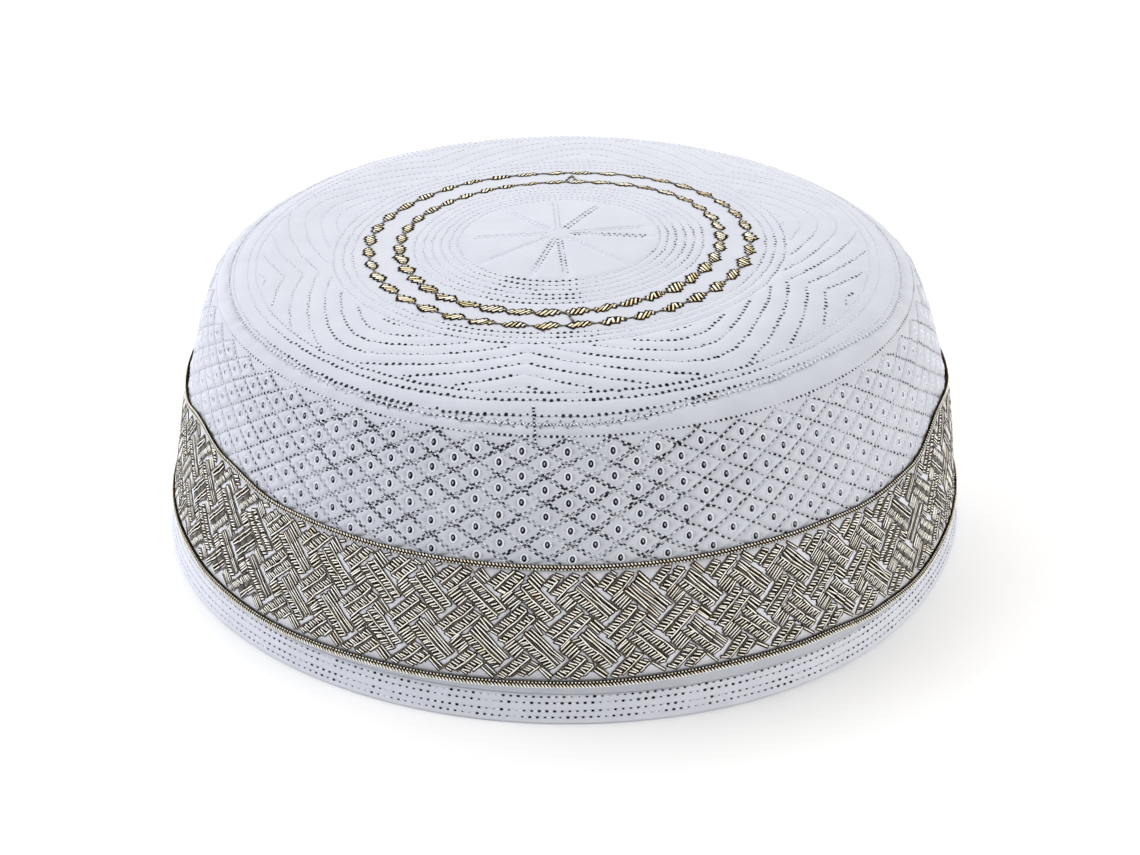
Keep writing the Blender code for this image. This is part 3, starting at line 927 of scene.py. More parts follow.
# The lining bulges up in each eyelet, towards the side that faces away; sizes in shares of the hole
LUMP_LIES_BELOW = 0.05 * MM
LUMP_SIDES = 8
LUMP_SWAY = 0.48
LUMP_SWAY_GROWTH = 2.5
LUMP_HALF_WIDTH = 0.28
LUMP_HALF_HEIGHT = 0.42
CELL_EDGE_STEPS = 4
CELL_RINGS = (
    # share of the way from the eyelet to the diamond's edge, lift of the cloth
    (0.00, 0.04 * MM),
    (0.45, 0.20 * MM),
    (0.72, 0.10 * MM),
    (0.79, -0.03 * MM),
    (0.94, -0.05 * MM),
    (1.00, -0.16 * MM),
)
HEM_TOP_AT = 134.4 * MM
SHOULDER_ROWS = 18
SHOULDER_UNDER_ROWS = 3
SHOULDER_LINE_AT = 80.0 * MM
HIDDEN_ROWS = 4
SIDE_RADIUS = 88.0
PUCKER_DEPTH = 0.35 * MM
PUCKER_REACH = 2.6 * MM
PUCKER_LENGTH = 6.0 * MM
PUCKERS_ROUND = 30.0

EYELET_ROWS = len(EYELET_ROWS_AT)
EYELET_PITCH = 360.0 / EYELET_COLUMNS
SIDE_COTTON = cotton("side cotton", (0.514, 0.528, 0.584), (0.480, 0.494, 0.551))


def sewn(turn, row):
    """Where a place of the even lattice has come to lie: azimuth and distance from a turn and a row."""
    above = min(max(math.floor(row), 0), EYELET_ROWS - 2)
    even = EYELET_ROWS_AT[above] + (row - above) * (EYELET_ROWS_AT[above + 1] - EYELET_ROWS_AT[above])
    station = 0 if row < EYELET_WAVES_ROWS else 1
    share = row / EYELET_WAVES_ROWS - station
    slide, drop = (
        (1.0 - share) * along_waves(EYELET_WAVES, turn, first + station)
        + share * along_waves(EYELET_WAVES, turn, first + station + 1)
        for first in (EYELET_SLIDE, EYELET_DROP))
    return turn + slide, even + drop


def eyelet_turn(column, row):
    """Where an eyelet stands in the even lattice: each row is half a pitch on from the last."""
    return EYELET_FIRST_TURN + EYELET_PITCH * (column + 0.5 * (row % 2))


def eyelet_size(azimuth):
    """Half the width and height of an eyelet's hole, smaller where the cloth has closed up."""
    shade_size = min(along_waves(NEEDLE_HOLES, azimuth, EYELET_HOLES), 1.0)
    share = CLOSED_EYELET + (1.0 - CLOSED_EYELET) * shade_size
    return EYELET_HALF_WIDTH * share, EYELET_HALF_HEIGHT * share


def side_relief(azimuth, distance):
    """Small puckers where the seam gathers the shoulder, and the dip of the shoulder's stitch line."""
    turn = math.radians(azimuth)
    below_seam = distance - CROWN_SEAM_AT - along_waves(SEAM_WAVES, azimuth)
    spot = (math.cos(turn) * PUCKERS_ROUND, math.sin(turn) * PUCKERS_ROUND, distance / PUCKER_LENGTH)
    pucker = PUCKER_DEPTH * noise.noise(Vector(spot)) * hump(below_seam, PUCKER_REACH)
    roll = SEAM_ROLL * hump(below_seam, SEAM_ROLL_WIDTH)
    return pucker - roll - VALLEY_DEPTH * hump(distance - SHOULDER_LINE_AT, VALLEY_WIDTH)


def side_mesh():
    """The eyelet field cell by cell, with the shoulder strip above and a plain strip below it."""
    shape = bmesh.new()
    layer = shape.loops.layers.uv.new("cloth")
    weave_per_degree = math.radians(SIDE_RADIUS)
    cloth, wall, lining = range(3)

    def add(corners, finish=cloth):
        face = shape.faces.new([shape.verts.new(corner[0]) for corner in corners])
        face.smooth = True
        face.material_index = finish
        for loop, (_, azimuth, distance) in zip(face.loops, corners):
            loop[layer].uv = (azimuth * weave_per_degree, distance / MM)

    def sleeve(first, second, finish=cloth):
        """A row of faces that closes the way between two loops of corners."""
        for number in range(len(first)):
            after = (number + 1) % len(first)
            add((first[number], first[after], second[after], second[number]), finish)

    def corner(azimuth, distance, lift):
        return place(azimuth, distance, lift), azimuth, distance

    def diamond(turn, row):
        """The cloth from one eyelet to the edges of its diamond, the hole, and the lining in it."""
        middle, across = sewn(turn, row)
        per_metre = degrees_per_metre(across)
        half_width, half_height = eyelet_size(middle)
        spokes = []
        tips = ((1, 0), (0, 1), (-1, 0), (0, -1))
        for start, end in zip(tips, tips[1:] + tips[:1]):
            for step in range(CELL_EDGE_STEPS):
                share = step / CELL_EDGE_STEPS
                u = start[0] + share * (end[0] - start[0])
                v = start[1] + share * (end[1] - start[1])
                edge = sewn(turn + u * EYELET_PITCH / 2, row + v)
                angle = math.atan2(edge[1] - across, (edge[0] - middle) / per_metre)
                wide = half_width * math.cos(angle) * per_metre
                spokes.append(((middle + wide, across + half_height * math.sin(angle)), edge))
        rings = [
            [corner(*(start + share * (end - start) for start, end in zip(hole, edge)), lift)
             for hole, edge in spokes]
            for share, lift in CELL_RINGS]
        bottom = [corner(*hole, -EYELET_DEPTH) for hole, _ in spokes]
        # The lump sways away from the front, so the painted shade of the hole's floor shows as a crescent on
        # the side nearer the front.
        sway = LUMP_SWAY * min(max(LUMP_SWAY_GROWTH * math.cos(math.radians(middle)), -1.0), 1.0)
        lump = []
        for number in range(LUMP_SIDES):
            angle = 2.0 * math.pi * number / LUMP_SIDES
            aside = half_width * (sway + LUMP_HALF_WIDTH * math.cos(angle))
            beside = half_height * LUMP_HALF_HEIGHT * math.sin(angle)
            lump.append((middle + aside * per_metre, across + beside))
        lump_top = [corner(*spot, -LUMP_LIES_BELOW) for spot in lump]
        for inner, outer in zip(rings, rings[1:]):
            sleeve(inner, outer)
        # The hole's wall and floor take the painted shade.
        sleeve(bottom, rings[0], wall)
        add(bottom[::-1], wall)
        sleeve(lump_top, [corner(*spot, -EYELET_DEPTH) for spot in lump], lining)
        add(lump_top[::-1], lining)
        add([corner(*edge, -QUILTED_CLOTH) for _, edge in spokes])

    for row in range(EYELET_ROWS):
        for column in range(EYELET_COLUMNS):
            diamond(eyelet_turn(column, row), row)

    columns = EYELET_COLUMNS * 2 * CELL_EDGE_STEPS
    turns = [EYELET_FIRST_TURN + 360.0 * number / columns for number in range(columns)]
    edge_dip = CELL_RINGS[-1][1]

    def corner_row(turn, first):
        """The row at which the diamonds stop, which rises and falls from corner to corner."""
        return first + abs(past_mark(turn, EYELET_FIRST_TURN, EYELET_PITCH)) / (EYELET_PITCH / 2)

    def shoulder_point(turn, share, lift, relief):
        azimuth, end = sewn(turn, corner_row(turn, -1))
        start = CROWN_SEAM_AT + SEAM_SHOWS / 2 + along_waves(SEAM_WAVES, azimuth)
        distance = start + share * (end - start)
        dip = relief * (side_relief(azimuth, distance) * (1.0 - share ** 6) + edge_dip * share ** 6)
        return corner(azimuth, distance, lift + dip)

    def hidden_point(turn, share, lift, relief):
        azimuth, start = sewn(turn, corner_row(turn, EYELET_ROWS - 1))
        distance = start + share * (HEM_TOP_AT - SEAM_GAP / 2 - start)
        return corner(azimuth, distance, lift + relief * edge_dip * max(0.0, 1.0 - 2.0 * share))

    def strip(point, rows, lift, relief, outward):
        grid = [[point(turn, row / rows, lift, relief) for turn in turns] for row in range(rows + 1)]
        for upper, lower in zip(grid, grid[1:]):
            for column in range(columns):
                after = (column + 1) % columns
                face = (upper[column], lower[column], lower[after], upper[after])
                add(face if outward else face[::-1])
        return grid

    top = strip(shoulder_point, SHOULDER_ROWS, 0.0, 1.0, True)[0]
    top_under = strip(shoulder_point, SHOULDER_UNDER_ROWS, -QUILTED_CLOTH, 0.0, False)[0]
    foot = strip(hidden_point, HIDDEN_ROWS, 0.0, 1.0, True)[-1]
    foot_under = strip(hidden_point, HIDDEN_ROWS, -QUILTED_CLOTH, 0.0, False)[-1]
    for column in range(columns):
        after = (column + 1) % columns
        add((top_under[column], top[column], top[after], top_under[after]))
        add((foot[column], foot_under[column], foot_under[after], foot[after]))
    return kept_mesh("side", shape, welded=True)


# Painted shade: the walls and floor of each eyelet's hole are near black, for the shade deep in the hole.
EYELET_WALL_SHADE = cotton("eyelet wall shade", (0.020, 0.021, 0.026), (0.010, 0.011, 0.014))
EYELET_LINING = cotton("eyelet lining", (0.60, 0.615, 0.67), (0.54, 0.555, 0.61))
side = new_piece("side", side_mesh(), SIDE_COTTON, EYELET_WALL_SHADE, EYELET_LINING)
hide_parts("side_wall")

# Eyelet rings: white thread worked over and over round the edge of each eyelet, which leaves a
# raised ring with small bumps. The lowest row lies under the band and has none.
RING_OF_THREAD = 0.34 * MM
RING_TURNS = 14
RING_SECTION = (
    # outward from the hole's edge in shares of the ring, lift of the thread
    (-0.10, -0.10 * MM),
    (0.00, 0.20 * MM),
    (0.45, 0.36 * MM),
    (0.95, 0.20 * MM),
    (1.10, -0.02 * MM),
)
RING_BUMP = 0.07 * MM
EYELET_THREAD = cotton("eyelet thread", (0.74, 0.755, 0.83), (0.66, 0.675, 0.75), rumple=0.04 * MM)


def eyelet_rings_mesh():
    """A raised ring of thread round every eyelet that can be seen."""
    shape = bmesh.new()
    layer = shape.loops.layers.uv.new("cloth")
    for row in range(EYELET_ROWS - 1):
        for column in range(EYELET_COLUMNS):
            middle, across = sewn(eyelet_turn(column, row), row)
            per_metre = degrees_per_metre(across)
            half_width, half_height = eyelet_size(middle)
            loops = []
            for share, lift in RING_SECTION:
                loop = []
                for number in range(RING_TURNS):
                    angle = 2.0 * math.pi * number / RING_TURNS
                    bump = RING_BUMP * (number % 2) if 0.0 < share < 1.0 else 0.0
                    azimuth = middle + (half_width + share * RING_OF_THREAD) * math.cos(angle) * per_metre
                    distance = across + (half_height + share * RING_OF_THREAD) * math.sin(angle)
                    loop.append(shape.verts.new(place(azimuth, distance, lift - bump)))
                loops.append(loop)
            for inner, outer in zip(loops, loops[1:] + loops[:1]):
                for number in range(RING_TURNS):
                    after = (number + 1) % RING_TURNS
                    face = shape.faces.new((inner[number], inner[after], outer[after], outer[number]))
                    face.smooth = True
                    for loop, (u, v) in zip(face.loops, ((0, 0), (0, 1), (1, 1), (1, 0))):
                        loop[layer].uv = (number + v, u)
    return kept_mesh("eyelet rings", shape)


eyelet_rings = new_piece("eyelet_rings", eyelet_rings_mesh(), EYELET_THREAD)

# Side stitches: a whiter, harder thread. A zigzag closes the seam, a single line runs round the
# shoulder, and the lines that cross between the eyelets are mostly sewn in pairs, close together.
WHITE_THREAD = spun_thread("white thread", ((0.62, 0.635, 0.70), (0.76, 0.775, 0.84)), 0.6)
PAIR_HALF_GAP = 0.36 * MM
LATTICE_STITCHES = 4
RISING_PAIRED_ABOVE = 0.7
FALLING_PAIRED_ABOVE = 0.4
SHOULDER_PITCH = 1.15 * MM
SHOULDER_SHADE_SIZE = 0.8
SEAM_ZIGZAG = 0.75 * MM
SEAM_PITCH = 1.3 * MM
ZIGZAG_LIFT = -0.06 * MM
ZIGZAG_SHADE_SIZE = 0.6
SEAM_SHOWS_FROM = -122.0
SEAM_SHOWS_TO = -66.0
SEAM_STITCH_DEGREES = 1.0
SEAM_STITCH_LIFT = -0.10 * MM
SEAM_STITCH_SHADE_SIZE = 1.1
STRIP_JOINT = (
    # azimuth and distance of the ends of the short seam that joins the side strip to itself
    (-94.6, 72.6 * MM),
    (-94.1, 81.6 * MM),
)
JOINT_STITCHES = 10
JOINT_LIFT = 0.02 * MM


def lattice_stitches(rising):
    """The pairs of stitch lines that rise, or that fall, between the eyelets."""
    made = []
    lift = CELL_RINGS[-3][1] + STITCH_LIFT
    if rising:
        step, column_of_holes, paired_above = -1, RISING_HOLES, RISING_PAIRED_ABOVE
    else:
        step, column_of_holes, paired_above = 1, FALLING_HOLES, FALLING_PAIRED_ABOVE
    for row in range(0 if rising else -1, EYELET_ROWS - 1):
        for column in range(EYELET_COLUMNS):
            left = eyelet_turn(column, row) - EYELET_PITCH / 2
            start = sewn(left, row)
            end = sewn(left + EYELET_PITCH / 2, row + step)
            per_metre = degrees_per_metre(start[1])
            run = (end[0] - start[0]) / per_metre
            fall = end[1] - start[1]
            length = math.hypot(run, fall)
            paired = along_waves(NEEDLE_HOLES, start[0], PAIRED_LINES) > paired_above
            for side_sign in (-1.0, 1.0) if paired else (0.0,):
                gap = PAIR_HALF_GAP * side_sign
                aside = (-fall / length * gap * per_metre, run / length * gap)
                for number in range(LATTICE_STITCHES):
                    share = (number + 0.25 * side_sign) / LATTICE_STITCHES
                    ends = [
                        wandered(start[0] + at * (end[0] - start[0]) + aside[0],
                                 start[1] + at * (end[1] - start[1]) + aside[1])
                        for at in (share, share + 1.0 / LATTICE_STITCHES)]
                    made.append(stitch(*ends, lift, hole_shade_size(*ends[1], column_of_holes)))
    return made


def shoulder_stitches():
    """The single line of stitches round the shoulder, and the short joint at the front."""
    made = []
    count = stitches_round(SHOULDER_LINE_AT, SHOULDER_PITCH)
    for number in range(count):
        ends = [(360.0 * hole / count, SHOULDER_LINE_AT) for hole in (number, number + 1)]
        shade_size = SHOULDER_SHADE_SIZE * hole_shade_size(*ends[1], FALLING_HOLES)
        made.append(stitch(*ends, STITCH_LIFT - VALLEY_DEPTH, shade_size))
    (first, upper), (last, lower) = STRIP_JOINT
    holes = [
        (first + (last - first) * number / JOINT_STITCHES, upper + (lower - upper) * number / JOINT_STITCHES)
        for number in range(JOINT_STITCHES + 1)]
    made += [stitch(*ends, JOINT_LIFT) for ends in zip(holes, holes[1:])]
    return made


def seam_stitches():
    """The zigzag over the seam between crown and side, and the seam's own stitches where they show."""
    made = []
    count = 2 * round(math.pi * on_cloth(CROWN_SEAM_AT)[0] / SEAM_PITCH)
    holes = []
    for number in range(count + 1):
        azimuth = 360.0 * number / count
        aside = SEAM_ZIGZAG * (1.0 if number % 2 else -1.0)
        holes.append((azimuth, CROWN_SEAM_AT + along_waves(SEAM_WAVES, azimuth) + aside))
    for start, end in zip(holes, holes[1:]):
        made.append(stitch(start, end, ZIGZAG_LIFT, ZIGZAG_SHADE_SIZE * hole_shade_size(*end, RIM_HOLES)))
    at = SEAM_SHOWS_FROM
    while at < SEAM_SHOWS_TO:
        ends = [
            (azimuth, CROWN_SEAM_AT + along_waves(SEAM_WAVES, azimuth))
            for azimuth in (at, at + SEAM_STITCH_DEGREES)]
        made.append(stitch(*ends, SEAM_STITCH_LIFT, SEAM_STITCH_SHADE_SIZE * hole_shade_size(*ends[1], RIM_HOLES)))
        at += SEAM_STITCH_DEGREES
    return made


for side_name, side_rows, hole_length, hole_width, side_seed in (
        ("side_stitches_rising", lattice_stitches(True), 0.90 * MM, 0.36 * MM, 11),
        ("side_stitches_falling", lattice_stitches(False), 0.80 * MM, 0.40 * MM, 12),
        ("shoulder_stitches", shoulder_stitches(), 0.62 * MM, 0.60 * MM, 13),
        ("seam_stitches", seam_stitches(), 0.85 * MM, 0.36 * MM, 14)):
    side_thread = threads_piece(
        side_name, side_rows, WHITE_THREAD, NEEDLE_HOLE_SHADE, Thread_Share=0.50, Thread_Width=0.34 * MM,
        Thread_Height=0.13 * MM, Mark_Length=hole_length, Mark_Reach=0.0, Mark_Width=hole_width,
        Mark_Shift=0.5, Mark_Lift=0.05 * MM, Unevenness=0.2, Satin=False, Seed=side_seed)

# Gold band: a strip of pale silvery cloth sewn round the lower side and covered with gold
# embroidery that imitates basket weave, in slanted blocks of two satin bars each.
BAND_TOP_AT = 106.6 * MM
BAND_BOTTOM_AT = 132.0 * MM
EMBROIDERY = 0.5 * MM
CORD_UPPER_RADIUS = 0.50 * MM
CORD_LOWER_RADIUS = 0.65 * MM
BAND_WAVES = (
    # azimuth in degrees, rise of the upper edge, rise of the lower edge
    (-168.0, 1.4 * MM, 0.0 * MM),
    (-156.0, 4.2 * MM, 0.1 * MM),
    (-146.0, 2.6 * MM, -0.7 * MM),
    (-132.0, 0.6 * MM, -1.0 * MM),
    (-112.0, 0.2 * MM, -0.4 * MM),
    (-90.0, 0.2 * MM, 0.2 * MM),
    (-68.0, 0.1 * MM, 1.0 * MM),
    (-55.0, -0.2 * MM, 0.7 * MM),
    (-44.0, -0.9 * MM, -0.6 * MM),
    (-33.0, -0.3 * MM, -1.5 * MM),
    (-20.0, 3.9 * MM, -1.1 * MM),
    (-4.0, 1.2 * MM, -0.4 * MM),
    (90.0, 0.0 * MM, 0.0 * MM),
)
UPPER_EDGE, LOWER_EDGE = 1, 2
BAND_SECTORS = 360
BAND_SPANS = 6
BAND_RADIUS = 90.0
WEAVE_REPEATS = 51
WEAVE_ROWS = (-2, -1, 0, 1, 2)
WEAVE_FIRST_AT = (-68.45, 119.2 * MM)
WEAVE_ROW_STEP = 10.4 * MM
WEAVE_ROW_SHIFT = 0.64 * MM
WEAVE_EDGE = 0.1 * MM
THREAD_LIFT = SEAM_GAP + EMBROIDERY / 2 + 0.16 * MM
THREAD_PITCH_AT_FRONT = 0.73 * MM
THREAD_PITCH_AT_SIDES = 0.56 * MM
THREAD_WANDER = 0.45 * MM
THREAD_WANDERS_PER_MM = 1.3
BARS = (
    # middle up-right, middle down-right, length, width, direction (1 rises, 0 falls), thread slant, edged
    (0.0 * MM, -1.34 * MM, 8.6 * MM, 1.36 * MM, 1, 0.35, True),
    (0.0 * MM, 1.02 * MM, 8.6 * MM, 1.36 * MM, 1, 0.35, True),
    (-1.09 * MM, 7.6 * MM, 9.2 * MM, 1.40 * MM, 0, 0.35, True),
    (1.15 * MM, 7.6 * MM, 9.2 * MM, 1.40 * MM, 0, 0.35, True),
    (3.75 * MM, 3.95 * MM, 2.2 * MM, 3.0 * MM, 1, 0.0, False),
    (-3.45 * MM, 3.90 * MM, 3.3 * MM, 2.8 * MM, 0, 0.0, False),
)

# Threads that lie along a bar, by their place across it. At the front a bar has a pale one on one
# side, a painted highlight, and a dark one on the other, painted shade along its edge; at the sides
# dark ones frame it. Some bars have pale ones within.
LAID_STITCHES = 3
PALE_WITHIN_AT = (-0.46 * MM, 0.26 * MM)
HIGHLIGHT_EDGE_AT = 0.98 * MM
SHADE_EDGE_AT = -0.88 * MM
DARK_FRAME_AT = (0.94 * MM, -0.88 * MM, -1.10 * MM)
DARK_BESIDE_PLAIN_BAR = 0.12 * MM
FRONT_AT = -90.0
FRONT_REACHES = 34.0
SIDES_START_OVER = 18.0


def band_edges(azimuth):
    """Distances of the band's upper and lower edges at an azimuth."""
    upper = BAND_TOP_AT - along_waves(BAND_WAVES, azimuth, UPPER_EDGE) + CORD_UPPER_RADIUS + SEAM_GAP
    lower = BAND_BOTTOM_AT - along_waves(BAND_WAVES, azimuth, LOWER_EDGE) - CORD_LOWER_RADIUS - SEAM_GAP
    return upper, lower


def band_mesh():
    """The band's cloth: a thin closed strip with edges that waver."""
    rows = []
    outer = [(row / BAND_SPANS, SEAM_GAP + EMBROIDERY / 2) for row in range(BAND_SPANS + 1)]
    inner = [(row / BAND_SPANS, SEAM_GAP) for row in range(BAND_SPANS, -1, -1)]
    for share, lift in (*outer, *inner, outer[0]):
        row = []
        for sector in range(BAND_SECTORS):
            azimuth = 360.0 * sector / BAND_SECTORS
            upper, lower = band_edges(azimuth)
            distance = upper + share * (lower - upper)
            row.append((place(azimuth, distance, lift), math.radians(azimuth) * BAND_RADIUS, distance / MM))
        rows.append(row)
    return kept_mesh("band", closed_rows(rows), welded=True)


BAND_CLOTH = cotton("band cloth", (0.68, 0.685, 0.74), (0.60, 0.605, 0.655), 0.4 * MM)
BAND_THREAD = spun_thread(
    "band thread",
    ((0.60, 0.40, 0.11), (0.93, 0.88, 0.77), (0.98, 0.97, 0.93), (0.96, 0.93, 0.83), (0.62, 0.42, 0.12)),
    0.5, 0.05, patchy=0.45)
band = new_piece("gold_band_cloth", band_mesh(), BAND_CLOTH)
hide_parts("gold_band")


def worked_closer(azimuth):
    """From 0 at the front to 1 at the sides and back, where pale threads lie closer between dark lines."""
    return eased((abs(past_mark(azimuth, FRONT_AT)) - FRONT_REACHES) / SIDES_START_OVER)


def weave_threads():
    """The threads of every bar between the cords: the pale ones, and the dark ones along the edges."""
    pale = []
    dark = []
    repeat = 360.0 / WEAVE_REPEATS
    per_metre = degrees_per_metre((BAND_TOP_AT + BAND_BOTTOM_AT) / 2)
    diagonal = math.sqrt(0.5)

    def wander(x, y, column, layer):
        across = x / MM * THREAD_WANDERS_PER_MM + column * 7.0
        return THREAD_WANDER * noise.noise(Vector((across, y / MM * THREAD_WANDERS_PER_MM, layer)))

    def lay(made, row, column, ends):
        """One thread between two places given up-right and down-right of the middle of a repeat."""
        spots = []
        for u, v in ends:
            x = (u + v) * diagonal + row * WEAVE_ROW_SHIFT
            y = (v - u) * diagonal + row * WEAVE_ROW_STEP
            x += wander(x, y, column, 0.0)
            y += wander(x, y, column, 5.0)
            spots.append((WEAVE_FIRST_AT[0] + column * repeat + x * per_metre, WEAVE_FIRST_AT[1] + y))
        middle = (spots[0][0] + spots[1][0]) / 2
        upper, lower = band_edges(middle)
        rise = sum(along_waves(BAND_WAVES, middle, edge) for edge in (UPPER_EDGE, LOWER_EDGE)) / 2
        spots = [(azimuth, distance - rise) for azimuth, distance in spots]
        if all(upper + WEAVE_EDGE < distance < lower - WEAVE_EDGE for _, distance in spots):
            made.append(stitch(*spots, THREAD_LIFT))

    for row in WEAVE_ROWS:
        for column in range(WEAVE_REPEATS):
            for number, (bar_u, bar_v, length, width, rises, slant, edged) in enumerate(BARS):

                def bar(made, first, last, start, end):
                    """A thread from one place along and across the bar to another."""
                    if rises:
                        ends = ((bar_u + first, bar_v + start), (bar_u + last, bar_v + end))
                    else:
                        ends = ((bar_u + start, bar_v + first), (bar_u + end, bar_v + last))
                    lay(made, row, column, ends)

                chance = noise.noise(Vector((column * 0.73, row * 1.37, number * 2.1)))
                close = worked_closer(WEAVE_FIRST_AT[0] + column * repeat)
                if rises:
                    lengthwise = edged and close > 0.5 and chance > 0.0
                else:
                    lengthwise = edged and chance > (0.35 if number == 2 else 0.05)
                lines = [(pale, across) for across in PALE_WITHIN_AT] if lengthwise else []
                if edged and close > 0.5:
                    lines += [(dark, across) for across in DARK_FRAME_AT]
                elif edged:
                    # At the front: a pale thread as painted highlight along one edge, a dark one as painted
                    # shade along the other.
                    lines += [(pale, HIGHLIGHT_EDGE_AT), (dark, SHADE_EDGE_AT)]
                else:
                    lines += [(dark, -width / 2 - DARK_BESIDE_PLAIN_BAR)]
                for made, across in lines:
                    for piece in range(LAID_STITCHES):
                        steps = [length * ((piece + end) / LAID_STITCHES - 0.5) for end in (0, 1)]
                        bar(made, *steps, across, across)
                pitch = THREAD_PITCH_AT_FRONT + close * (THREAD_PITCH_AT_SIDES - THREAD_PITCH_AT_FRONT)
                count = 0 if lengthwise else round(length / pitch)
                for step in range(count):
                    along = length * ((step + 0.5) / count - 0.5)
                    bar(pale, along - slant * width / 2, along + slant * width / 2, -width / 2, width / 2)
    return pale, dark


pale_threads, dark_threads = weave_threads()
# Each pale thread lies on a patch of painted shade, and each dark line on a narrower one, for the shade in
# the gaps between threads.
band_thread = threads_piece(
    "gold_band_threads", pale_threads, BAND_THREAD, THREAD_SHADE, Thread_Share=0.98,
    Thread_Width=0.28 * MM, Thread_Height=0.045 * MM, Mark_Length=0.42 * MM, Mark_Reach=1.0,
    Mark_Width=0.80 * MM, Mark_Shift=0.0, Mark_Lift=-0.035 * MM, Unevenness=0.15, Satin=True, Seed=21)
band_lines = threads_piece(
    "gold_band_lines", dark_threads, DARK_THREAD, THREAD_SHADE, Thread_Share=1.0,
    Thread_Width=0.38 * MM, Thread_Height=0.08 * MM, Mark_Length=0.0, Mark_Reach=1.0,
    Mark_Width=0.30 * MM, Mark_Shift=0.0, Mark_Lift=-0.05 * MM, Unevenness=0.15, Satin=True, Seed=22)

# Cords: two rows of gold cord couched along the band's edges and pressed into the cloth, the lower
# one thicker. Each is a soft core under two strands that slant across it; the core is coloured as
# painted shade, which shows as the dark line between the strands and in the gaps between threads.
CORDS = (
    # name, node, distance of the even line, edge of the band, radius, place of the painted shade line between
    # the strands, seed
    ("upper_cord", "band_cord_upper", BAND_TOP_AT, UPPER_EDGE, CORD_UPPER_RADIUS, 0.15, 31),
    ("lower_cord", "band_cord_lower", BAND_BOTTOM_AT, LOWER_EDGE, CORD_LOWER_RADIUS, -0.45, 32),
)
CORD_SECTORS = 360
CORD_SIDES = 8

# Sizes of the core and the strands in shares of the cord's radius, apart from those in millimetres
CORD_SUNK = 0.60
STRANDS_ABOVE_MIDDLE = 0.72
WRAP_PITCH = 0.72 * MM
WRAP_SLANT = 0.75
WRAP_REACH = 1.05
WRAP_PARTING = 0.24 * MM
CORE_HALF_WIDTH = 1.02
CORE_HALF_HEIGHT = 0.78
CORD_GOLD = spun_thread(
    "cord gold",
    ((0.50, 0.34, 0.12), (0.90, 0.82, 0.62), (0.98, 0.96, 0.90), (0.95, 0.90, 0.76), (0.60, 0.42, 0.16)),
    0.45, 0.05, patchy=0.4)


def cord_mesh(name, distance, wave, radius):
    """The cord's core as a closed tube, coloured as painted shade."""
    rows = []
    for side_number in range(CORD_SIDES + 1):
        angle = 2.0 * math.pi * side_number / CORD_SIDES
        row = []
        for sector in range(CORD_SECTORS):
            azimuth = 360.0 * sector / CORD_SECTORS
            middle = distance - along_waves(BAND_WAVES, azimuth, wave)
            aside = radius * CORE_HALF_WIDTH * math.sin(angle)
            lift = SEAM_GAP + radius * (CORD_SUNK + CORE_HALF_HEIGHT * math.cos(angle))
            along = math.radians(azimuth) * BAND_RADIUS
            row.append((place(azimuth, middle + aside, lift), along, side_number))
        rows.append(row)
    return kept_mesh(name, closed_rows(rows), welded=True)


def cord_wraps(distance, wave, radius, parting):
    """The two strands over the outer half of a cord, thread by thread, slanting across it."""
    made = []
    count = stitches_round(distance, WRAP_PITCH)
    lift = SEAM_GAP + radius * (CORD_SUNK + STRANDS_ABOVE_MIDDLE)
    strands = (
        (-radius * WRAP_REACH, radius * parting - WRAP_PARTING / 2),
        (radius * parting + WRAP_PARTING / 2, radius * WRAP_REACH))
    for number in range(count):
        for upper, lower in strands:
            azimuth = 360.0 * number / count
            middle = distance - along_waves(BAND_WAVES, azimuth, wave)
            slant = WRAP_SLANT * degrees_per_metre(middle)
            made.append(stitch(
                (azimuth + upper * slant, middle + upper), (azimuth + lower * slant, middle + lower), lift))
    return made


for cord_name, cord_node, cord_distance, cord_wave, cord_radius, cord_parting, cord_seed in CORDS:
    core = new_piece(
        f"{cord_name}_core", cord_mesh(cord_name, cord_distance, cord_wave, cord_radius), THREAD_SHADE)
    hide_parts(cord_node)
    # Each strand's thread lies on a narrow patch of painted shade.
    wraps = threads_piece(
        f"{cord_name}_wraps", cord_wraps(cord_distance, cord_wave, cord_radius, cord_parting), CORD_GOLD,
        THREAD_SHADE, Thread_Share=1.10, Thread_Width=0.33 * MM, Thread_Height=cord_radius * 0.30,
        Mark_Length=0.0, Mark_Reach=0.6, Mark_Width=0.3 * MM, Mark_Shift=0.0, Mark_Lift=-0.15 * MM,
        Unevenness=0.12, Satin=False, Seed=cord_seed)

# Hem: the lower edge of the cotton, folded under and sewn flat with four rows of small stitches.
# The cap stands on this fold.
HEM_FOLD = 2.6 * MM
HEM_ROWS = (134.85 * MM, 136.2 * MM, 137.95 * MM, 139.3 * MM)
HEM_WAVES = (
    # azimuth in degrees, how far the rows lie below their even lines
    (-150.0, 0.2 * MM),
    (-105.0, 0.3 * MM),
    (-72.0, -0.2 * MM),
    (-40.0, 0.2 * MM),
    (60.0, 0.0 * MM),
)
HEM_SECTORS = 360
HEM_RADIUS = 94.0
HEM_OUTER_STEPS = 18
HEM_FOLD_RADIUS = 0.9 * MM
OUTER_FOLD_ANGLES = (20.0, 45.0, 70.0, 90.0)
INNER_FOLD_ANGLES = (90.0, 45.0, 0.0)
HEM_PITCH = 1.55 * MM
HEM_SHADE_SIZE = 0.95
HEM_VALLEY_DEPTH = 0.10 * MM
HEM_VALLEY_WIDTH = 0.55 * MM


def hem_relief(distance):
    """The dips that the rows of stitches pull into the hem."""
    return -HEM_VALLEY_DEPTH * max(hump(distance - row, HEM_VALLEY_WIDTH) for row in HEM_ROWS)


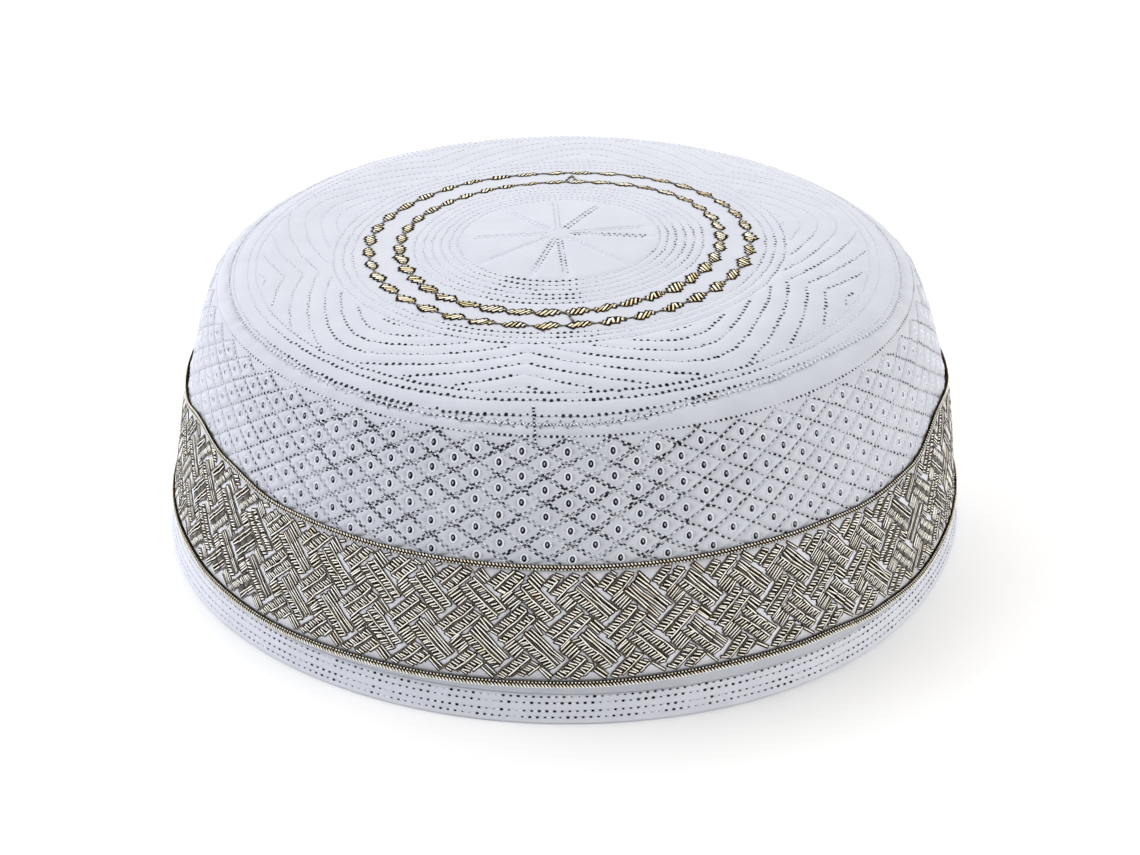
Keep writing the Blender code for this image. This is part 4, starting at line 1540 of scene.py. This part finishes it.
def hem_mesh():
    """The folded hem as a closed ring, its lower edge a soft fold that rests on the floor."""
    start = HEM_TOP_AT + SEAM_GAP / 2
    straight_end = RIM_AT - HEM_FOLD_RADIUS
    profile = []
    for step in range(HEM_OUTER_STEPS + 1):
        distance = start + (straight_end - start) * step / HEM_OUTER_STEPS
        profile.append((*on_cloth(distance, hem_relief(distance)), distance))
    rim_radius = on_cloth(RIM_AT)[0]
    inner_rim = rim_radius - HEM_FOLD
    for angle in OUTER_FOLD_ANGLES:
        turn = math.radians(angle)
        out = rim_radius - HEM_FOLD_RADIUS + HEM_FOLD_RADIUS * math.cos(turn)
        profile.append((out, HEM_FOLD_RADIUS * (1.0 - math.sin(turn)), RIM_AT))
    for angle in INNER_FOLD_ANGLES:
        turn = math.radians(angle)
        out = inner_rim + HEM_FOLD_RADIUS - HEM_FOLD_RADIUS * math.cos(turn)
        profile.append((out, HEM_FOLD_RADIUS * (1.0 - math.sin(turn)), RIM_AT + MM))
    profile.append((*on_cloth((start + RIM_AT) / 2, -HEM_FOLD), RIM_AT + 4.0 * MM))
    profile.append((*on_cloth(start, -HEM_FOLD), RIM_AT + 7.0 * MM))
    profile.append(profile[0])
    rows = []
    for radius, height, distance in profile:
        row = []
        for sector in range(HEM_SECTORS):
            azimuth = 360.0 * sector / HEM_SECTORS
            point = settled(radius, azimuth, height)
            row.append((point, math.radians(azimuth) * HEM_RADIUS, distance / MM))
        rows.append(row)
    return kept_mesh("hem", closed_rows(rows), welded=True)


def hem_stitches():
    """Four rows of stitches round the hem, each row half a stitch on from the last."""
    made = []
    for row, distance in enumerate(HEM_ROWS):
        count = stitches_round(distance, HEM_PITCH)
        step = 360.0 / count
        for number in range(count):
            azimuth = (number + 0.5 * (row % 2)) * step
            ends = [(at, distance + along_waves(HEM_WAVES, at)) for at in (azimuth, azimuth + step)]
            shade_size = HEM_SHADE_SIZE * hole_shade_size(*ends[1], CROWN_HOLES)
            made.append(stitch(*ends, STITCH_LIFT - HEM_VALLEY_DEPTH, shade_size))
    return made


# Painted light: the hem's cotton is paler than the rest of the cloth, to lift the shade the hem gets low down
# by the floor.
HEM_COTTON_PAINTED_PALER = cotton("hem cotton painted paler", (0.60, 0.615, 0.68), (0.57, 0.585, 0.65))
hem = new_piece("hem", hem_mesh(), HEM_COTTON_PAINTED_PALER)
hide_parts("hem_band")
hem_thread = threads_piece(
    "hem_stitches", hem_stitches(), WHITE_THREAD, NEEDLE_HOLE_SHADE, Thread_Share=0.62, Thread_Width=0.32 * MM,
    Thread_Height=0.14 * MM, Mark_Length=0.58 * MM, Mark_Reach=0.0, Mark_Width=0.46 * MM, Mark_Shift=0.5,
    Mark_Lift=0.04 * MM, Unevenness=0.2, Satin=False, Seed=41)

# The photographer's table: a pale floor that runs off in every direction, broad soft light from
# above and all round, and the camera at the fitted place, looking down at about thirty degrees.
CAMERA_DISTANCE = 500.0 * MM
CAMERA_ELEVATION = math.radians(29.40)
CAMERA_ROLL = math.radians(-0.16)
CAMERA_TARGET = Vector((0.9625 * MM, 0.0, 16.4349 * MM))
CAMERA_LENS = 66.2
FLOOR_SIZE = 6.0
GRAINS_PER_METRE = 60.0
PAPER_SHADED = (0.93, 0.93, 0.93)
PAPER_PALE = (0.95, 0.95, 0.95)
LIGHTS = (
    # where each soft light stands: azimuth and height in degrees; how narrow it is; how strong
    (90.0, 84.0, 3.0, 1.13),
    (90.0, 22.0, 4.0, 2.72),
    (-27.0, 12.0, 8.0, 4.50),
    (175.0, 12.0, 8.0, 6.14),
)
COOL_LEFT = (0.985, 1.0, 1.03, 1.0)
WARM_RIGHT = (1.025, 1.005, 0.965, 1.0)

camera_data = bpy.data.cameras.new("camera")
camera_data.lens = CAMERA_LENS
camera_data.sensor_width = 36.0
camera_data.clip_start = 0.01
camera = bpy.data.objects.new("camera", camera_data)
bpy.context.scene.collection.objects.link(camera)
back = Vector((0.0, -math.cos(CAMERA_ELEVATION), math.sin(CAMERA_ELEVATION)))
camera.location = CAMERA_TARGET + back * CAMERA_DISTANCE
camera.rotation_mode = "QUATERNION"
camera.rotation_quaternion = (-back).to_track_quat("-Z", "Y")
camera.rotation_mode = "XYZ"
camera.rotation_euler.rotate_axis("Z", CAMERA_ROLL)
bpy.context.scene.camera = camera

floor_mesh = bpy.data.meshes.new("floor")
floor_corners = [
    (x * FLOOR_SIZE / 2, y * FLOOR_SIZE / 2, 0.0) for x, y in ((-1, -1), (1, -1), (1, 1), (-1, 1))]
floor_mesh.from_pydata(floor_corners, [], [(0, 1, 2, 3)])
floor = bpy.data.objects.new("floor", floor_mesh)
bpy.context.scene.collection.objects.link(floor)
paper, paper_tree, paper_shader, paper_spot = new_material(
    "pale paper", Roughness=0.9, Specular_IOR_Level=0.1)
paper_grain = node(paper_tree, "ShaderNodeTexNoise", {"Vector": paper_spot, "Scale": GRAINS_PER_METRE})
paper_tone = shades(paper_tree, paper_grain.outputs["Fac"], (PAPER_SHADED, PAPER_PALE))
paper_tree.links.new(paper_tone, paper_shader.inputs["Base Color"])
floor_mesh.materials.append(paper)

world = bpy.data.worlds.new("soft room")
world.use_nodes = True
room = world.node_tree
direction = node(room, "ShaderNodeTexCoord").outputs["Generated"]
brightness = 0.0
for light_azimuth, light_height, narrowness, strength in LIGHTS:
    turn = math.radians(light_azimuth)
    tilt = math.radians(light_height)
    axis = (math.cos(tilt) * math.cos(turn), math.cos(tilt) * math.sin(turn), math.sin(tilt))
    facing = node(
        room, "ShaderNodeVectorMath", {0: direction, 1: axis}, operation="DOT_PRODUCT").outputs["Value"]
    in_front = node(room, "ShaderNodeMath", {0: facing, 1: 0.0}, operation="MAXIMUM").outputs[0]
    gathered = node(room, "ShaderNodeMath", {0: in_front, 1: narrowness}, operation="POWER").outputs[0]
    brightness = node(
        room, "ShaderNodeMath", {0: gathered, 1: strength, 2: brightness}, operation="MULTIPLY_ADD"
    ).outputs[0]
room.links.new(brightness, room.nodes["Background"].inputs["Strength"])
to_the_right = node(
    room, "ShaderNodeMapRange",
    {"Value": node(room, "ShaderNodeSeparateXYZ", {"Vector": direction}).outputs["X"], "From Min": -1.0,
     "From Max": 1.0})
warmth = node(
    room, "ShaderNodeMix", {0: to_the_right.outputs["Result"], 6: COOL_LEFT, 7: WARM_RIGHT}, data_type="RGBA"
).outputs[2]
room.links.new(warmth, room.nodes["Background"].inputs["Color"])
bpy.context.scene.world = world
bpy.context.scene.view_settings.view_transform = "Standard"
